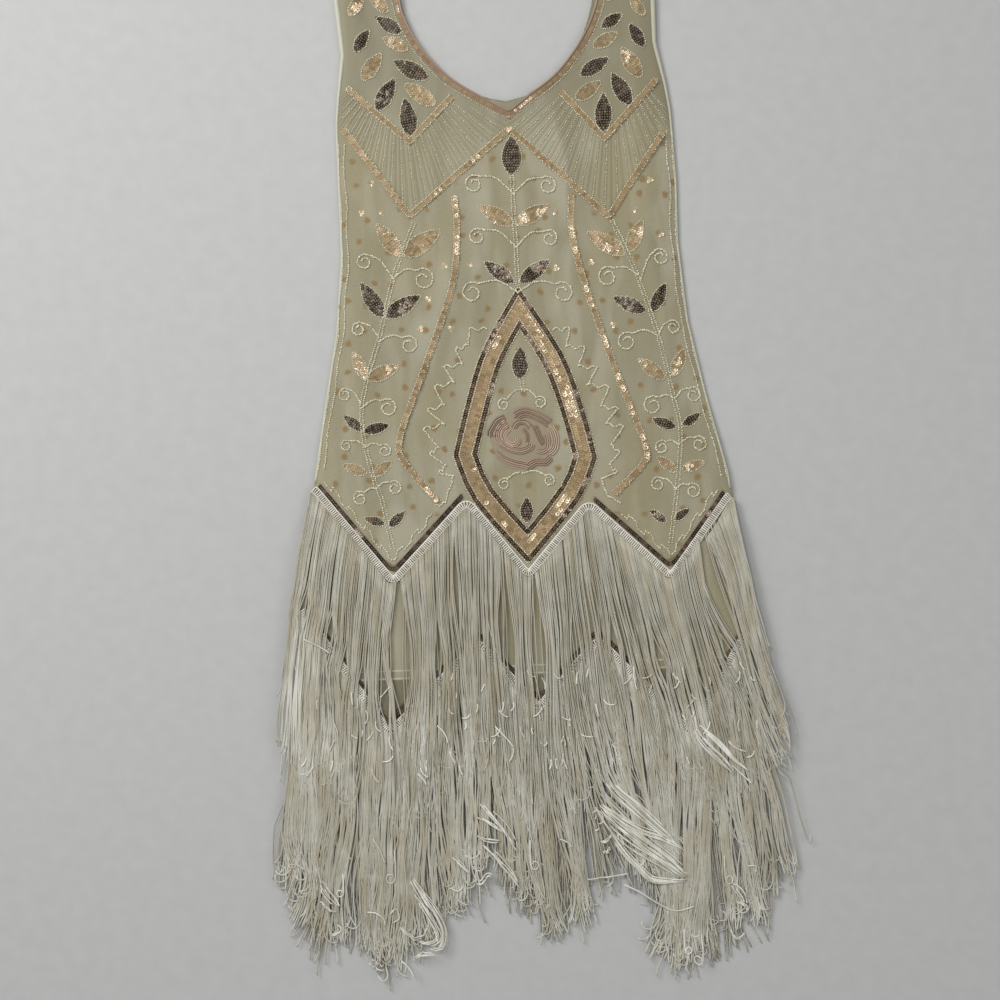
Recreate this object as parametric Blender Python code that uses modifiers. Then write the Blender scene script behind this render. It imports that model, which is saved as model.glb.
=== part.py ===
"""Flapper dress laid flat on a surface, neckline towards +Y. Metres, +Z up.

A sleeveless V-necked dress of embroidered net over a plain lining, with two tiers of long fringe
that hang from zigzag seams, front and back. The back lies face down on the surface, the lining and
the front lie on it. The origin is the centre of the bounding box, on the surface.
"""

import math
from collections import namedtuple

import bmesh
import bpy
from mathutils import Vector
from mathutils.bvhtree import BVHTree

MM = 0.001

# Driving sizes of the whole garment.
TOP_Y = 0.5875
NECK_DEPTH = 0.206
NECK_POINT_Y = TOP_Y - NECK_DEPTH
CENTRE_X = 0.0075
SHOULDER_SLOPE = 0.16
SHOULDER_SLOPE_REACH = 0.09
WALL = 1.5 * MM
LINING_WALL = 1.0 * MM
SEAM_GAP = 0.3 * MM
LAYER_GAP = 0.5 * MM

# The side seams, from the shoulder to below the hem.
Outline = namedtuple("Outline", "y left right")
SIDES = [
    Outline(0.5875, -0.182, 0.174),
    Outline(0.510, -0.179, 0.173),
    Outline(0.450, -0.174, 0.172),
    Outline(0.405, -0.180, 0.181),
    Outline(0.375, -0.183, 0.185),
    Outline(0.300, -0.183, 0.188),
    Outline(0.230, -0.183, 0.187),
    Outline(0.145, -0.192, 0.194),
    Outline(0.065, -0.208, 0.210),
    Outline(-0.025, -0.224, 0.231),
    Outline(-0.100, -0.238, 0.240),
    Outline(-0.200, -0.248, 0.249),
    Outline(-0.320, -0.256, 0.257),
]

# The edge of the neckline, from the shoulder to the point of the V.
NECKLINE = [
    Outline(0.5875, -0.110, 0.112),
    Outline(0.510, -0.107, 0.110),
    Outline(0.485, -0.101, 0.104),
    Outline(0.462, -0.090, 0.093),
    Outline(0.440, -0.074, 0.078),
    Outline(0.418, -0.052, 0.058),
    Outline(0.398, -0.021, 0.030),
    Outline(NECK_POINT_Y, CENTRE_X, CENTRE_X),
]

# Corners of the two zigzag seams that the fringe hangs from, left side seam to right.
Corner = namedtuple("Corner", "x y")
UPPER_ZIGZAG = [
    Corner(-0.225, -0.022),
    Corner(-0.141, -0.130),
    Corner(-0.057, -0.045),
    Corner(0.007, -0.129),
    Corner(0.076, -0.053),
    Corner(0.163, -0.137),
    Corner(0.232, -0.048),
]
LOWER_ZIGZAG = [
    Corner(-0.245, -0.151),
    Corner(-0.152, -0.295),
    Corner(-0.051, -0.199),
    Corner(0.012, -0.274),
    Corner(0.080, -0.202),
    Corner(0.178, -0.309),
    Corner(0.243, -0.199),
]
CORNER_ROUNDING = 0.005
LINING_HEM_Y = -0.236

# Soft folds in the front, each a ridge from one point to another.
Fold = namedtuple("Fold", "x0 y0 x1 y1 height half_width")
FOLDS = [
    Fold(0.157, 0.400, 0.150, 0.010, 4.5 * MM, 0.017),
    Fold(0.100, 0.250, 0.122, 0.005, 2.6 * MM, 0.015),
    Fold(0.060, 0.170, 0.090, 0.030, 1.8 * MM, 0.013),
    Fold(-0.141, 0.350, -0.160, 0.120, 3.2 * MM, 0.016),
    Fold(-0.165, 0.130, -0.185, 0.000, 3.0 * MM, 0.015),
    Fold(-0.045, 0.290, -0.085, 0.060, 2.2 * MM, 0.016),
    Fold(-0.110, 0.100, -0.120, -0.010, 2.0 * MM, 0.015),
    Fold(0.020, 0.330, 0.050, 0.250, 1.6 * MM, 0.018),
    Fold(-0.162, 0.560, -0.160, 0.420, 2.4 * MM, 0.013),
    Fold(0.150, 0.560, 0.158, 0.430, 2.2 * MM, 0.013),
]

# How the layers stack. The back rises over its own two tiers of fringe, each rise from one height
# on the garment to another.
Rise = namedtuple("Rise", "lift start_y end_y")
BACK_RISES = [Rise(2.4 * MM, 0.065, -0.008), Rise(2.5 * MM, -0.038, -0.126)]
ROLL_WIDTH = 0.006
BACK_INSET = 0.0045
BACK_NECK_PEEK = 0.005

# Rows of the panels' grids, and their columns as shares of the half width.
NECK_ROWS = 8
BODY_ROWS = 17
SKIRT_ROWS = 3
BODY_END_Y = -0.127
FRONT_COLUMNS = (0.0, 0.09, 0.18, 0.28, 0.38, 0.47, 0.56, 0.66, 0.76, 0.85, 0.93, 0.97, 0.985, 1.0)
BACK_COLUMNS = (0.0, 0.14, 0.28, 0.47, 0.66, 0.83, 1.0)
LINING_COLUMNS = (0.0, 0.33, 0.66, 1.0)

# Fringe. A lock stands for a group of threads.
Tier = namedtuple("Tier", "name seam locks inset flare")
BACK_UPPER = Tier("fringe_back_upper", UPPER_ZIGZAG, 27, 0.007, 0.046)
BACK_LOWER = Tier("fringe_back_lower", LOWER_ZIGZAG, 29, 0.007, 0.036)
FRONT_LOWER = Tier("fringe_front_lower", LOWER_ZIGZAG, 60, 0.003, 0.043)
FRONT_UPPER = Tier("fringe_front_upper", UPPER_ZIGZAG, 56, 0.004, 0.057)
HEADER_HEIGHT = 0.012
HEADER_THICK = 1.6 * MM
LOCK_THICK = 1.7 * MM
LOCK_SHARE = 0.62
LOCK_TAPER = 0.4
LOCK_THINNING = 0.35
LOCK_LENGTH = 0.277
LOCK_STATIONS = (0.14, 0.42, 0.72, 1.0)
FLARE_POWER = 1.5
HALF_HEM = 0.235

# What each tier lies on: heights above the surface, and where a tier comes down past the tips
# or the hem below it.
FLOOR_CLEARANCE = 0.35 * MM
ON_BACK_UPPER = 2.5 * MM
ON_BACK_FRINGE = 5.0 * MM
UPPER_TIPS = (-0.438, -0.525)
BELOW_HEM = (-0.300, -0.430)
OVER_LOWER_HEADER = (-0.030, -0.105)

# Trim on the front.
BAND_WIDTH = 0.006
BINDING_WIDTH = 0.007
BINDING_INSET = 0.8 * MM
BINDING_END = 4 * MM
LOZENGE_WIDTH_INSIDE = 0.022
LOZENGE_WIDTH_OUTSIDE = 0.002
ZIGZAG_BAND_GAP = 0.0025
ZIGZAG_BAND_HEIGHT = 0.007
ZIGZAG_BAND_STEP = 0.011
BAND_THICK = 0.9 * MM
TRIM_LIFT = 0.35 * MM
TRIM_REACH = 0.006

YOKE_BAND = [
    Corner(-0.174, 0.368),
    Corner(-0.106, 0.271),
    Corner(CENTRE_X, 0.362),
    Corner(0.112, 0.261),
    Corner(0.176, 0.351),
]
YOKE_POINT_LEFT = [Corner(-0.168, 0.413), Corner(-0.103, 0.352), Corner(-0.054, 0.400)]
YOKE_POINT_RIGHT = [Corner(0.066, 0.399), Corner(0.111, 0.347), Corner(0.170, 0.408)]

# Each band down the body is a curve from the yoke to the hip, then a straight foot to the seam.
PRINCESS_LEFT = [
    Corner(-0.056, 0.289),
    Corner(-0.055, 0.249),
    Corner(-0.063, 0.191),
    Corner(-0.093, 0.113),
    Corner(-0.125, 0.035),
    Corner(-0.128, 0.010),
]
PRINCESS_LEFT_FOOT = [Corner(-0.116, -0.009), Corner(-0.088, -0.044)]
PRINCESS_RIGHT = [
    Corner(0.072, 0.285),
    Corner(0.071, 0.244),
    Corner(0.085, 0.179),
    Corner(0.115, 0.085),
    Corner(0.139, 0.016),
    Corner(0.143, -0.004),
]
PRINCESS_RIGHT_FOOT = [Corner(0.132, -0.018), Corner(0.106, -0.042)]

# The frame round the rose: four curves between its top, left, bottom and right corners.
LOZENGE_SIDES = [
    [Corner(0.0095, 0.184), Corner(-0.0290, 0.122), Corner(-0.0470, 0.074), Corner(-0.0665, 0.007)],
    [Corner(-0.0665, 0.007), Corner(-0.0470, -0.043), Corner(0.0080, -0.111)],
    [Corner(0.0080, -0.111), Corner(0.0650, -0.045), Corner(0.0850, -0.002)],
    [Corner(0.0850, -0.002), Corner(0.0720, 0.055), Corner(0.0520, 0.114), Corner(0.0095, 0.184)],
]

# The embroidered rose: a low oval turned form, ring after ring of petals from its rim to its heart.
Ring = namedtuple("Ring", "share height")
ROSE_CENTRE = Corner(0.0080, 0.022)
ROSE_RADIUS_X = 0.038
ROSE_RADIUS_Y = 0.036
ROSE_STEPS = 18
ROSE_RINGS = [
    Ring(1.00, 0.5 * MM),
    Ring(0.93, 1.2 * MM),
    Ring(0.78, 0.8 * MM),
    Ring(0.64, 1.5 * MM),
    Ring(0.50, 1.0 * MM),
    Ring(0.36, 1.7 * MM),
    Ring(0.22, 1.2 * MM),
    Ring(0.00, 1.8 * MM),
]

Finish = namedtuple("Finish", "red green blue roughness metallic")
FINISHES = {
    "net": Finish(0.44, 0.40, 0.29, 0.8, 0.0),
    "lining": Finish(0.56, 0.51, 0.36, 0.5, 0.0),
    "fringe": Finish(0.60, 0.53, 0.42, 0.45, 0.0),
    "bronze_sequin": Finish(0.10, 0.06, 0.05, 0.25, 0.6),
    "peach_sequin": Finish(0.46, 0.30, 0.18, 0.3, 0.4),
    "rose_thread": Finish(0.36, 0.24, 0.19, 0.6, 0.0),
}
CREASE_ANGLE = math.radians(50)


# Scene, materials and objects.

def clear_scene():
    for obj in list(bpy.data.objects):
        bpy.data.objects.remove(obj, do_unlink=True)


def dress_collection():
    found = bpy.data.collections.get("flapper_dress")
    if found is None:
        found = bpy.data.collections.new("flapper_dress")
        bpy.context.scene.collection.children.link(found)
    return found


def material(name):
    made = bpy.data.materials.get(name)
    if made is None:
        finish = FINISHES[name]
        made = bpy.data.materials.new(name)
        made.use_nodes = True
        shader = made.node_tree.nodes["Principled BSDF"]
        shader.inputs["Base Color"].default_value = (finish.red, finish.green, finish.blue, 1.0)
        shader.inputs["Roughness"].default_value = finish.roughness
        shader.inputs["Metallic"].default_value = finish.metallic
    return made


def new_object(name, mesh, material_name):
    obj = bpy.data.objects.new(name, mesh)
    dress_collection().objects.link(obj)
    mesh.materials.append(material(material_name))
    mesh.shade_smooth()
    mesh.set_sharp_from_angle(angle=CREASE_ANGLE)
    return obj


def mesh_of(bm, name):
    mesh = bpy.data.meshes.new(name)
    bm.to_mesh(mesh)
    bm.free()
    return mesh


# The lie of the garment.

def smoothstep(value, start, end):
    """0 at start, 1 at end, with a soft beginning and end."""
    t = min(1.0, max(0.0, (value - start) / (end - start)))
    return t * t * (3 - 2 * t)


def along_table(y, rows, column):
    """A column of a table that runs down the garment, read at y on a smooth curve through its rows."""
    values = [getattr(row, column) for row in rows]
    heights = [row.y for row in rows]
    if y >= heights[0]:
        return values[0]
    if y <= heights[-1]:
        return values[-1]
    i = max(k for k in range(len(rows) - 1) if heights[k] >= y)
    span = heights[i] - heights[i + 1]

    def slope(k):
        a, b = max(0, k - 1), min(len(rows) - 1, k + 1)
        return (values[b] - values[a]) / (heights[a] - heights[b]) * span

    t = (heights[i] - y) / span
    rise = 3 * t**2 - 2 * t**3
    start_bend = (t**3 - 2 * t**2 + t) * slope(i)
    end_bend = (t**3 - t**2) * slope(i + 1)
    return values[i] * (1 - rise) + values[i + 1] * rise + start_bend + end_bend


def seam_height(x, corners):
    """A zigzag seam's height at x, with its corners rounded."""

    def straight(at):
        at = min(corners[-1].x, max(corners[0].x, at))
        i = max(k for k in range(len(corners) - 1) if corners[k].x <= at)
        a, b = corners[i], corners[i + 1]
        return a.y + (b.y - a.y) * (at - a.x) / (b.x - a.x)

    steps = (-1.0, -0.5, 0.0, 0.5, 1.0)
    return sum(straight(x + k * CORNER_ROUNDING) for k in steps) / len(steps)


def side_x(y, side):
    return along_table(y, SIDES, "left" if side < 0 else "right")


def inner_x(y, side):
    """The neckline above the point of the V, and the centre line below it."""
    if y >= NECK_POINT_Y:
        return along_table(y, NECKLINE, "left" if side < 0 else "right")
    return CENTRE_X


def back_underside(x, y):
    return sum(rise.lift * smoothstep(y, rise.start_y, rise.end_y) for rise in BACK_RISES)


def lining_underside(x, y):
    return back_underside(x, y) + WALL + LAYER_GAP


def flat_front_underside(x, y):
    return lining_underside(x, y) + LINING_WALL + LAYER_GAP


def fold_height(x, y):
    """Sum of the soft ridges at a point of the front."""
    total = 0.0
    for fold in FOLDS:
        along_x, along_y = fold.x1 - fold.x0, fold.y1 - fold.y0
        length = math.hypot(along_x, along_y)
        t = ((x - fold.x0) * along_x + (y - fold.y0) * along_y) / length**2
        across = ((x - fold.x0) * along_y - (y - fold.y0) * along_x) / length
        ends = smoothstep(t, -0.12, 0.2) * smoothstep(t, 1.12, 0.75)
        total += fold.height * ends * math.exp(-((across / fold.half_width) ** 2))
    return total


def front_underside(x, y):
    """Layers below the front, its folds, and its edge rolled down at the side seam."""
    level = flat_front_underside(x, y) + fold_height(x, y)
    side = -1 if x < CENTRE_X else 1
    from_edge = abs(side_x(y, side) - x)
    foot = back_underside(x, y) + SEAM_GAP
    return foot + (level - foot) * smoothstep(from_edge, 0.0, ROLL_WIDTH)


# Panels of cloth.

def row_heights():
    """Heights of the rows that all the panels share, with one at the point of the V."""
    upper = [TOP_Y - NECK_DEPTH * (i / NECK_ROWS) ** 0.8 for i in range(NECK_ROWS)]
    lower = [NECK_POINT_Y + (BODY_END_Y - NECK_POINT_Y) * i / BODY_ROWS for i in range(BODY_ROWS + 1)]
    return upper + lower


def lower_seam(x):
    return seam_height(x, LOWER_ZIGZAG)


def straight_hem(x):
    return LINING_HEM_Y


def panel_point(side, column, row, hem, inset, peek):
    """Where a grid point lies: column is its share of the way from the centre line to the side."""
    rows = row_heights()
    y = rows[min(row, len(rows) - 1)]
    neck = peek if side > 0 and y > NECK_POINT_Y else 0.0
    inner = inner_x(y, side) - neck
    x = inner + (side_x(y, side) - side * inset - inner) * column
    below = row - len(rows) + 1
    if below > 0:
        y += (hem(x) - y) * below / SKIRT_ROWS
        x = CENTRE_X + (side_x(y, side) - side * inset - CENTRE_X) * column
    drop = SHOULDER_SLOPE * max(0.0, abs(x) - abs(inner_x(TOP_Y, side)))
    return x, y - drop * smoothstep(y, TOP_Y - SHOULDER_SLOPE_REACH, TOP_Y)


def panel(name, columns, hem, underside, thick, material_name, inset=0.0, peek=0.0):
    """A wall with a V neck: two half grids that meet on the centre line below the V.

    hem gives the bottom edge at x, and underside the wall's lower face at a point. inset moves the
    side seams in, and peek moves the right of the neckline in.
    """
    bm = bmesh.new()
    across, down = len(columns) - 1, len(row_heights()) - 1 + SKIRT_ROWS
    for side in (-1, 1):
        made = bmesh.ops.create_grid(bm, x_segments=across, y_segments=down, size=1.0)
        for vert in made["verts"]:
            column = columns[round((vert.co.x + 1) / 2 * across)]
            row = round((1 - vert.co.y) / 2 * down)
            x, y = panel_point(side, column, row, hem, inset, peek)
            vert.co = Vector((x, y, underside(x, y)))
    bmesh.ops.remove_doubles(bm, verts=bm.verts, dist=0.01 * MM)
    bmesh.ops.recalc_face_normals(bm, faces=bm.faces)
    if sum(face.normal.z for face in bm.faces) < 0:
        bmesh.ops.reverse_faces(bm, faces=bm.faces)
    obj = new_object(name, mesh_of(bm, name), material_name)
    solid = obj.modifiers.new("Thickness", "SOLIDIFY")
    solid.thickness = thick
    solid.offset = 1.0
    solid.use_rim = True
    return obj


def back_panel():
    return panel(
        "back_panel", BACK_COLUMNS, lower_seam, back_underside, WALL, "net", BACK_INSET, BACK_NECK_PEEK
    )


def lining():
    inset = 2 * BACK_INSET
    return panel("lining", LINING_COLUMNS, straight_hem, lining_underside, LINING_WALL, "lining", inset)


def front_panel():
    return panel("front_panel", FRONT_COLUMNS, lower_seam, front_underside, WALL, "net")


def surface_of(obj):
    """A function that gives the highest point of an object close to (x, y)."""
    tree = BVHTree.FromObject(obj, bpy.context.evaluated_depsgraph_get())
    ring = [(math.cos(k * math.pi / 4), math.sin(k * math.pi / 4)) for k in range(8)]
    around = [(0.0, 0.0)] + [(TRIM_REACH * u, TRIM_REACH * v) for u, v in ring]

    def top_at(x, y):
        hits = [tree.ray_cast(Vector((x + dx, y + dy, 1.0)), Vector((0.0, 0.0, -1.0))) for dx, dy in around]
        return max((hit[0].z for hit in hits if hit[0] is not None), default=0.0)

    return top_at


# Fringe.

def fringe(tier, header_z, bed):
    """A header strip along a zigzag seam, with locks of thread extruded from its lower edge.

    header_z gives the strip's underside at a point, and bed the height that a lock lies at.
    """
    first, last = tier.seam[0].x + tier.inset, tier.seam[-1].x - tier.inset
    segments = 2 * tier.locks + 1
    gap_share = 1 - LOCK_SHARE
    pitch = (last - first) / (tier.locks + gap_share)
    bm = bmesh.new()
    made = bmesh.ops.create_grid(bm, x_segments=segments, y_segments=1, size=1.0)
    for vert in made["verts"]:
        step = round((vert.co.x + 1) / 2 * segments)
        x = first + (step // 2 + gap_share * (step % 2)) * pitch
        y = seam_height(x, tier.seam) + math.copysign(HEADER_HEIGHT / 2, vert.co.y)
        vert.co = Vector((x, y, header_z(x, y)))
    raised = bmesh.ops.extrude_face_region(bm, geom=list(bm.faces))["geom"]
    top = [v for v in raised if isinstance(v, bmesh.types.BMVert)]
    bmesh.ops.translate(bm, verts=top, vec=(0.0, 0.0, HEADER_THICK))
    bmesh.ops.recalc_face_normals(bm, faces=bm.faces)
    roots = [face for face in bm.faces if is_root(face, tier.seam, first, pitch)]
    for index, face in enumerate(sorted(roots, key=lambda f: f.calc_center_median().x)):
        grow_lock(bm, face, index, bed, tier.flare)
    bmesh.ops.recalc_face_normals(bm, faces=bm.faces)
    return new_object(tier.name, mesh_of(bm, tier.name), "fringe")


def is_root(face, seam, first, pitch):
    """A face of the strip's lower edge that a lock grows from: every other one."""
    centre = face.calc_center_median()
    on_lower_edge = centre.y < seam_height(centre.x, seam) - HEADER_HEIGHT / 4
    upright = abs(face.normal.z) < 0.5 and face.normal.y < -0.1
    place = ((centre.x - first) / pitch) % 1.0
    return on_lower_edge and upright and place > 1 - LOCK_SHARE


def grow_lock(bm, face, index, bed, flare):
    """Extrudes one lock from a root face, down and slightly outwards, over the layers below."""
    root = face.calc_center_median()
    width = max(v.co.x for v in face.verts) - min(v.co.x for v in face.verts)
    length = LOCK_LENGTH * (1 + 0.022 * math.sin(index * 2.4) + 0.012 * math.sin(index * 5.1 + 1))
    share = root.x / HALF_HEM
    shift = flare * math.copysign(abs(share) ** FLARE_POWER, share)
    down = math.sqrt(length**2 - shift**2)
    for t in LOCK_STATIONS:
        wave = 3.5 * MM * math.sin(2.1 * t + root.x * 31) * t
        stray = 1.5 * MM * math.sin(6 * t + index * 0.35) * t
        x = root.x + shift * t**1.15 + wave + stray
        y = root.y - down * t
        half = width / 2 * (1 - LOCK_TAPER * t)
        thick = LOCK_THICK * (1 - LOCK_THINNING * t)
        face = bmesh.ops.extrude_discrete_faces(bm, faces=[face])["faces"][0]
        middle = face.calc_center_median()
        for vert in face.verts:
            edge = math.copysign(half, vert.co.x - middle.x)
            lift = thick if vert.co.z > middle.z else 0.0
            vert.co = Vector((x + edge, y, bed(y) + lift))


def back_upper_bed(y):
    return FLOOR_CLEARANCE


def back_lower_bed(y):
    """Over the upper tier as far as its tips, then down to the surface."""
    return ON_BACK_UPPER - (ON_BACK_UPPER - FLOOR_CLEARANCE) * smoothstep(y, *UPPER_TIPS)


def front_lower_bed(y):
    """On the front, then down over the back's fringe, then down past the upper tier's tips."""
    on_front = flat_front_underside(0.0, BELOW_HEM[0]) + WALL + SEAM_GAP
    on_fringe = on_front + (ON_BACK_FRINGE - on_front) * smoothstep(y, *BELOW_HEM)
    return on_fringe - ON_BACK_UPPER * smoothstep(y, *UPPER_TIPS)


def front_upper_bed(y):
    """Up over the lower tier's header, then parallel to the lower tier."""
    at_header = flat_front_underside(0.0, UPPER_ZIGZAG[0].y) + WALL + 2 * SEAM_GAP
    on_lower = front_lower_bed(y) + HEADER_THICK + 2 * LAYER_GAP
    return at_header + (on_lower - at_header) * smoothstep(y, *OVER_LOWER_HEADER)


def back_fringes():
    fringe(BACK_UPPER, lambda x, y: FLOOR_CLEARANCE, back_upper_bed)
    fringe(BACK_LOWER, lambda x, y: ON_BACK_UPPER, back_lower_bed)


def front_fringes(top_at):
    """The headers follow the front, also where they reach past its hem."""

    def over_front(x, y):
        return max(top_at(x, y), flat_front_underside(x, y) + WALL) + SEAM_GAP

    fringe(FRONT_LOWER, over_front, front_lower_bed)
    fringe(FRONT_UPPER, over_front, front_upper_bed)


# Trim.

def edge_pairs(points, left, right, closed=False):
    """Edge points of a ribbon, left and right of a path, mitred at its corners."""
    count = len(points)
    pairs = []
    for i, point in enumerate(points):
        before = points[i - 1] if closed or i > 0 else None
        after = points[(i + 1) % count] if closed or i < count - 1 else None
        into = (point - before).normalized() if before else (after - point).normalized()
        out = (after - point).normalized() if after else into
        tangent = (into + out).normalized()
        normal = Vector((-tangent.y, tangent.x)) / max(0.45, tangent.dot(into))
        pairs.append((point + normal * left, point - normal * right))
    return pairs


def curve(corners, steps):
    """Points of a smooth curve through a few chosen ones."""
    knots = [Vector(corner) for corner in corners]
    last = len(knots) - 1
    made = []
    for i in range(last):
        a, b, c, d = (knots[min(last, max(0, i + k))] for k in (-1, 0, 1, 2))
        for j in range(steps):
            t = j / steps
            bend = (2 * a - 5 * b + 4 * c - d) * t**2 + (3 * b - 3 * c + d - a) * t**3
            made.append(0.5 * (2 * b + (c - a) * t + bend))
    return made + [knots[-1]]


def legs(corners, steps):
    """Points along straight legs between corners."""
    knots = [Vector(corner) for corner in corners]
    made = [a.lerp(b, j / steps) for a, b in zip(knots, knots[1:]) for j in range(steps)]
    return made + [knots[-1]]


def band(name, pairs, top_at, material_name, closed=False):
    """A flat ribbon of trim through pairs of edge points, just clear of the cloth's highest point."""
    count = len(pairs)
    bm = bmesh.new()
    rungs = []
    for i, pair in enumerate(pairs):
        ahead = pairs[(i + 1) % count if closed else min(count - 1, i + 1)]
        behind = pairs[i - 1 if closed else max(0, i - 1)]
        near = [
            pair[edge].lerp(other[edge], t)
            for edge in (0, 1) for other in (ahead, behind) for t in (0.0, 0.25, 0.5)
        ]
        z = max(top_at(p.x, p.y) for p in near) + TRIM_LIFT
        rungs.append([bm.verts.new((p.x, p.y, z)) for p in pair])
    following = rungs[1:] + rungs[:1] if closed else rungs[1:]
    for (a, b), (d, c) in zip(rungs, following):
        bm.faces.new((a, b, c, d))
    raised = bmesh.ops.extrude_face_region(bm, geom=list(bm.faces))["geom"]
    top = [v for v in raised if isinstance(v, bmesh.types.BMVert)]
    bmesh.ops.translate(bm, verts=top, vec=(0.0, 0.0, BAND_THICK))
    bmesh.ops.recalc_face_normals(bm, faces=bm.faces)
    return new_object(name, mesh_of(bm, name), material_name)


def neck_binding(top_at):
    """The sequinned binding just inside the edge of the neckline, shoulder to shoulder."""
    heights = [TOP_Y - BINDING_END] + row_heights()[1:NECK_ROWS]
    arms = [[Vector((inner_x(y, side), y)) for y in heights] for side in (-1, 1)]
    point = Vector((CENTRE_X, NECK_POINT_Y))
    edge = arms[0] + [point] + arms[1][::-1]
    pairs = edge_pairs(edge, -BINDING_INSET, BINDING_INSET + BINDING_WIDTH)
    return band("neck_binding_front", pairs, top_at, "peach_sequin")


def body_bands(top_at):
    paths = {
        "yoke_band": legs(YOKE_BAND, 6),
        "yoke_point_left": legs(YOKE_POINT_LEFT, 4),
        "yoke_point_right": legs(YOKE_POINT_RIGHT, 4),
        "princess_band_left": curve(PRINCESS_LEFT, 2) + legs(PRINCESS_LEFT_FOOT, 2),
        "princess_band_right": curve(PRINCESS_RIGHT, 2) + legs(PRINCESS_RIGHT_FOOT, 2),
    }
    for name, path in paths.items():
        band(name, edge_pairs(path, BAND_WIDTH / 2, BAND_WIDTH / 2), top_at, "peach_sequin")


def lozenge_frame(top_at):
    path = [point for side in LOZENGE_SIDES for point in curve(side, 2)[:-1]]
    pairs = edge_pairs(path, LOZENGE_WIDTH_INSIDE, LOZENGE_WIDTH_OUTSIDE, closed=True)
    return band("lozenge_frame", pairs, top_at, "peach_sequin", closed=True)


def zigzag_band(name, seam, first, last, top_at):
    """A row of dark sequins just above a fringe header, from first to last across the dress."""
    steps = round((last - first) / ZIGZAG_BAND_STEP)
    pairs = []
    for i in range(steps + 1):
        x = first + (last - first) * i / steps
        lower = seam_height(x, seam) + HEADER_HEIGHT / 2 + ZIGZAG_BAND_GAP
        pairs.append((Vector((x, lower + ZIGZAG_BAND_HEIGHT)), Vector((x, lower))))
    return band(name, pairs, top_at, "bronze_sequin")


def rose(top_at):
    """The rose in the frame, turned from its ring table and made oval."""
    points = [(0.0, 0.0, 0.0)]
    points += [(ring.share * ROSE_RADIUS_X, 0.0, ring.height) for ring in reversed(ROSE_RINGS)]
    points += [(ROSE_RADIUS_X, 0.0, 0.0)]
    edges = [(i, i + 1) for i in range(1, len(points) - 1)] + [(len(points) - 1, 0)]
    profile = bpy.data.meshes.new("rose")
    profile.from_pydata(points, edges, [])
    obj = new_object("rose", profile, "rose_thread")
    turns = [k * 2 * math.pi / ROSE_STEPS for k in range(ROSE_STEPS)]
    rim = [(ROSE_RADIUS_X * math.cos(turn), ROSE_RADIUS_Y * math.sin(turn)) for turn in turns]
    crest = max(
        top_at(ROSE_CENTRE.x + share * u, ROSE_CENTRE.y + share * v) for share in (0.5, 1.0) for u, v in rim
    )
    obj.location = (ROSE_CENTRE.x, ROSE_CENTRE.y, crest + TRIM_LIFT)
    obj.scale = (1.0, ROSE_RADIUS_Y / ROSE_RADIUS_X, 1.0)
    turned = obj.modifiers.new("Turn", "SCREW")
    turned.steps = ROSE_STEPS
    turned.render_steps = ROSE_STEPS
    turned.use_merge_vertices = True
    turned.merge_threshold = 0.01 * MM
    turned.use_normal_calculate = True
    return obj


def main():
    clear_scene()
    back_panel()
    back_fringes()
    lining()
    top_at = surface_of(front_panel())
    front_fringes(top_at)
    neck_binding(top_at)
    body_bands(top_at)
    lozenge_frame(top_at)
    rose(top_at)
    zigzag_band("zigzag_band_upper_left", UPPER_ZIGZAG, -0.217, -0.062, top_at)
    zigzag_band("zigzag_band_upper_right", UPPER_ZIGZAG, 0.083, 0.224, top_at)
    zigzag_band("zigzag_band_lower", LOWER_ZIGZAG, -0.237, 0.235, top_at)


main()
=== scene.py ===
# %% [markdown]
# # A fringed flapper dress, laid flat
#
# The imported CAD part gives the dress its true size: three panels of cloth, two tiers of fringe front
# and back, and the bands of trim. This lesson dresses that model for the camera. The cloth is rounded
# and creased, and then the dress is decorated in the order a workroom would follow: bands, leaves,
# beads, the rose, and last the fringe.
#
# Everything is in metres, in the frame of the CAD part, with the neckline towards +Y.

import math
from collections import namedtuple

import bmesh
import bpy
import numpy as np
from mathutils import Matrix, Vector
from mathutils.bvhtree import BVHTree


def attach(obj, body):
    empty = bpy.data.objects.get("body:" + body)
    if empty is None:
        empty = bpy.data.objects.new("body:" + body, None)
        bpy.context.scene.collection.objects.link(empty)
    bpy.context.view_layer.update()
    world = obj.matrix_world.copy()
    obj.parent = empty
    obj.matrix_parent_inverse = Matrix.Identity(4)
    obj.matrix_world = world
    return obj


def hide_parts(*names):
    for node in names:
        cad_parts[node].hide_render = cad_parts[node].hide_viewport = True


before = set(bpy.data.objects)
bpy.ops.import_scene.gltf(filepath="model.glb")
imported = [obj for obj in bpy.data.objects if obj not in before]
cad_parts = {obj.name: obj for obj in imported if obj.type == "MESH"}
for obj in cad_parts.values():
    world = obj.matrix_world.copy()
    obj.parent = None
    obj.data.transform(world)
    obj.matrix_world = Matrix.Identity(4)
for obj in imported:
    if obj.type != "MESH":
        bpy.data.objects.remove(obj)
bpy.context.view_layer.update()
print("CAD nodes:", len(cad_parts))

# %% [markdown]
# ## Units, chance and smooth steps
#
# Places on the dress are written in millimetres, as on a pattern sheet, and one function turns them
# into metres. Everything that looks accidental, such as a bent thread or a tipped sequin, comes from
# one seeded source of chance, so the script gives the same dress each time.

# %% Units and small helpers
MM = 0.001
chance = np.random.default_rng(1926)


def mm(table):
    return np.array(table, float) * MM


def smoothstep(value, start, end):
    t = np.clip((value - start) / (end - start), 0.0, 1.0)
    return t * t * (3 - 2 * t)


# %% [markdown]
# ## The photograph's view
#
# The dress is photographed from straight above. A 50 mm lens at about 1.5 m takes in 1.1 m of floor,
# and the camera is turned a little because the dress lies slightly askew in the picture.

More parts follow.
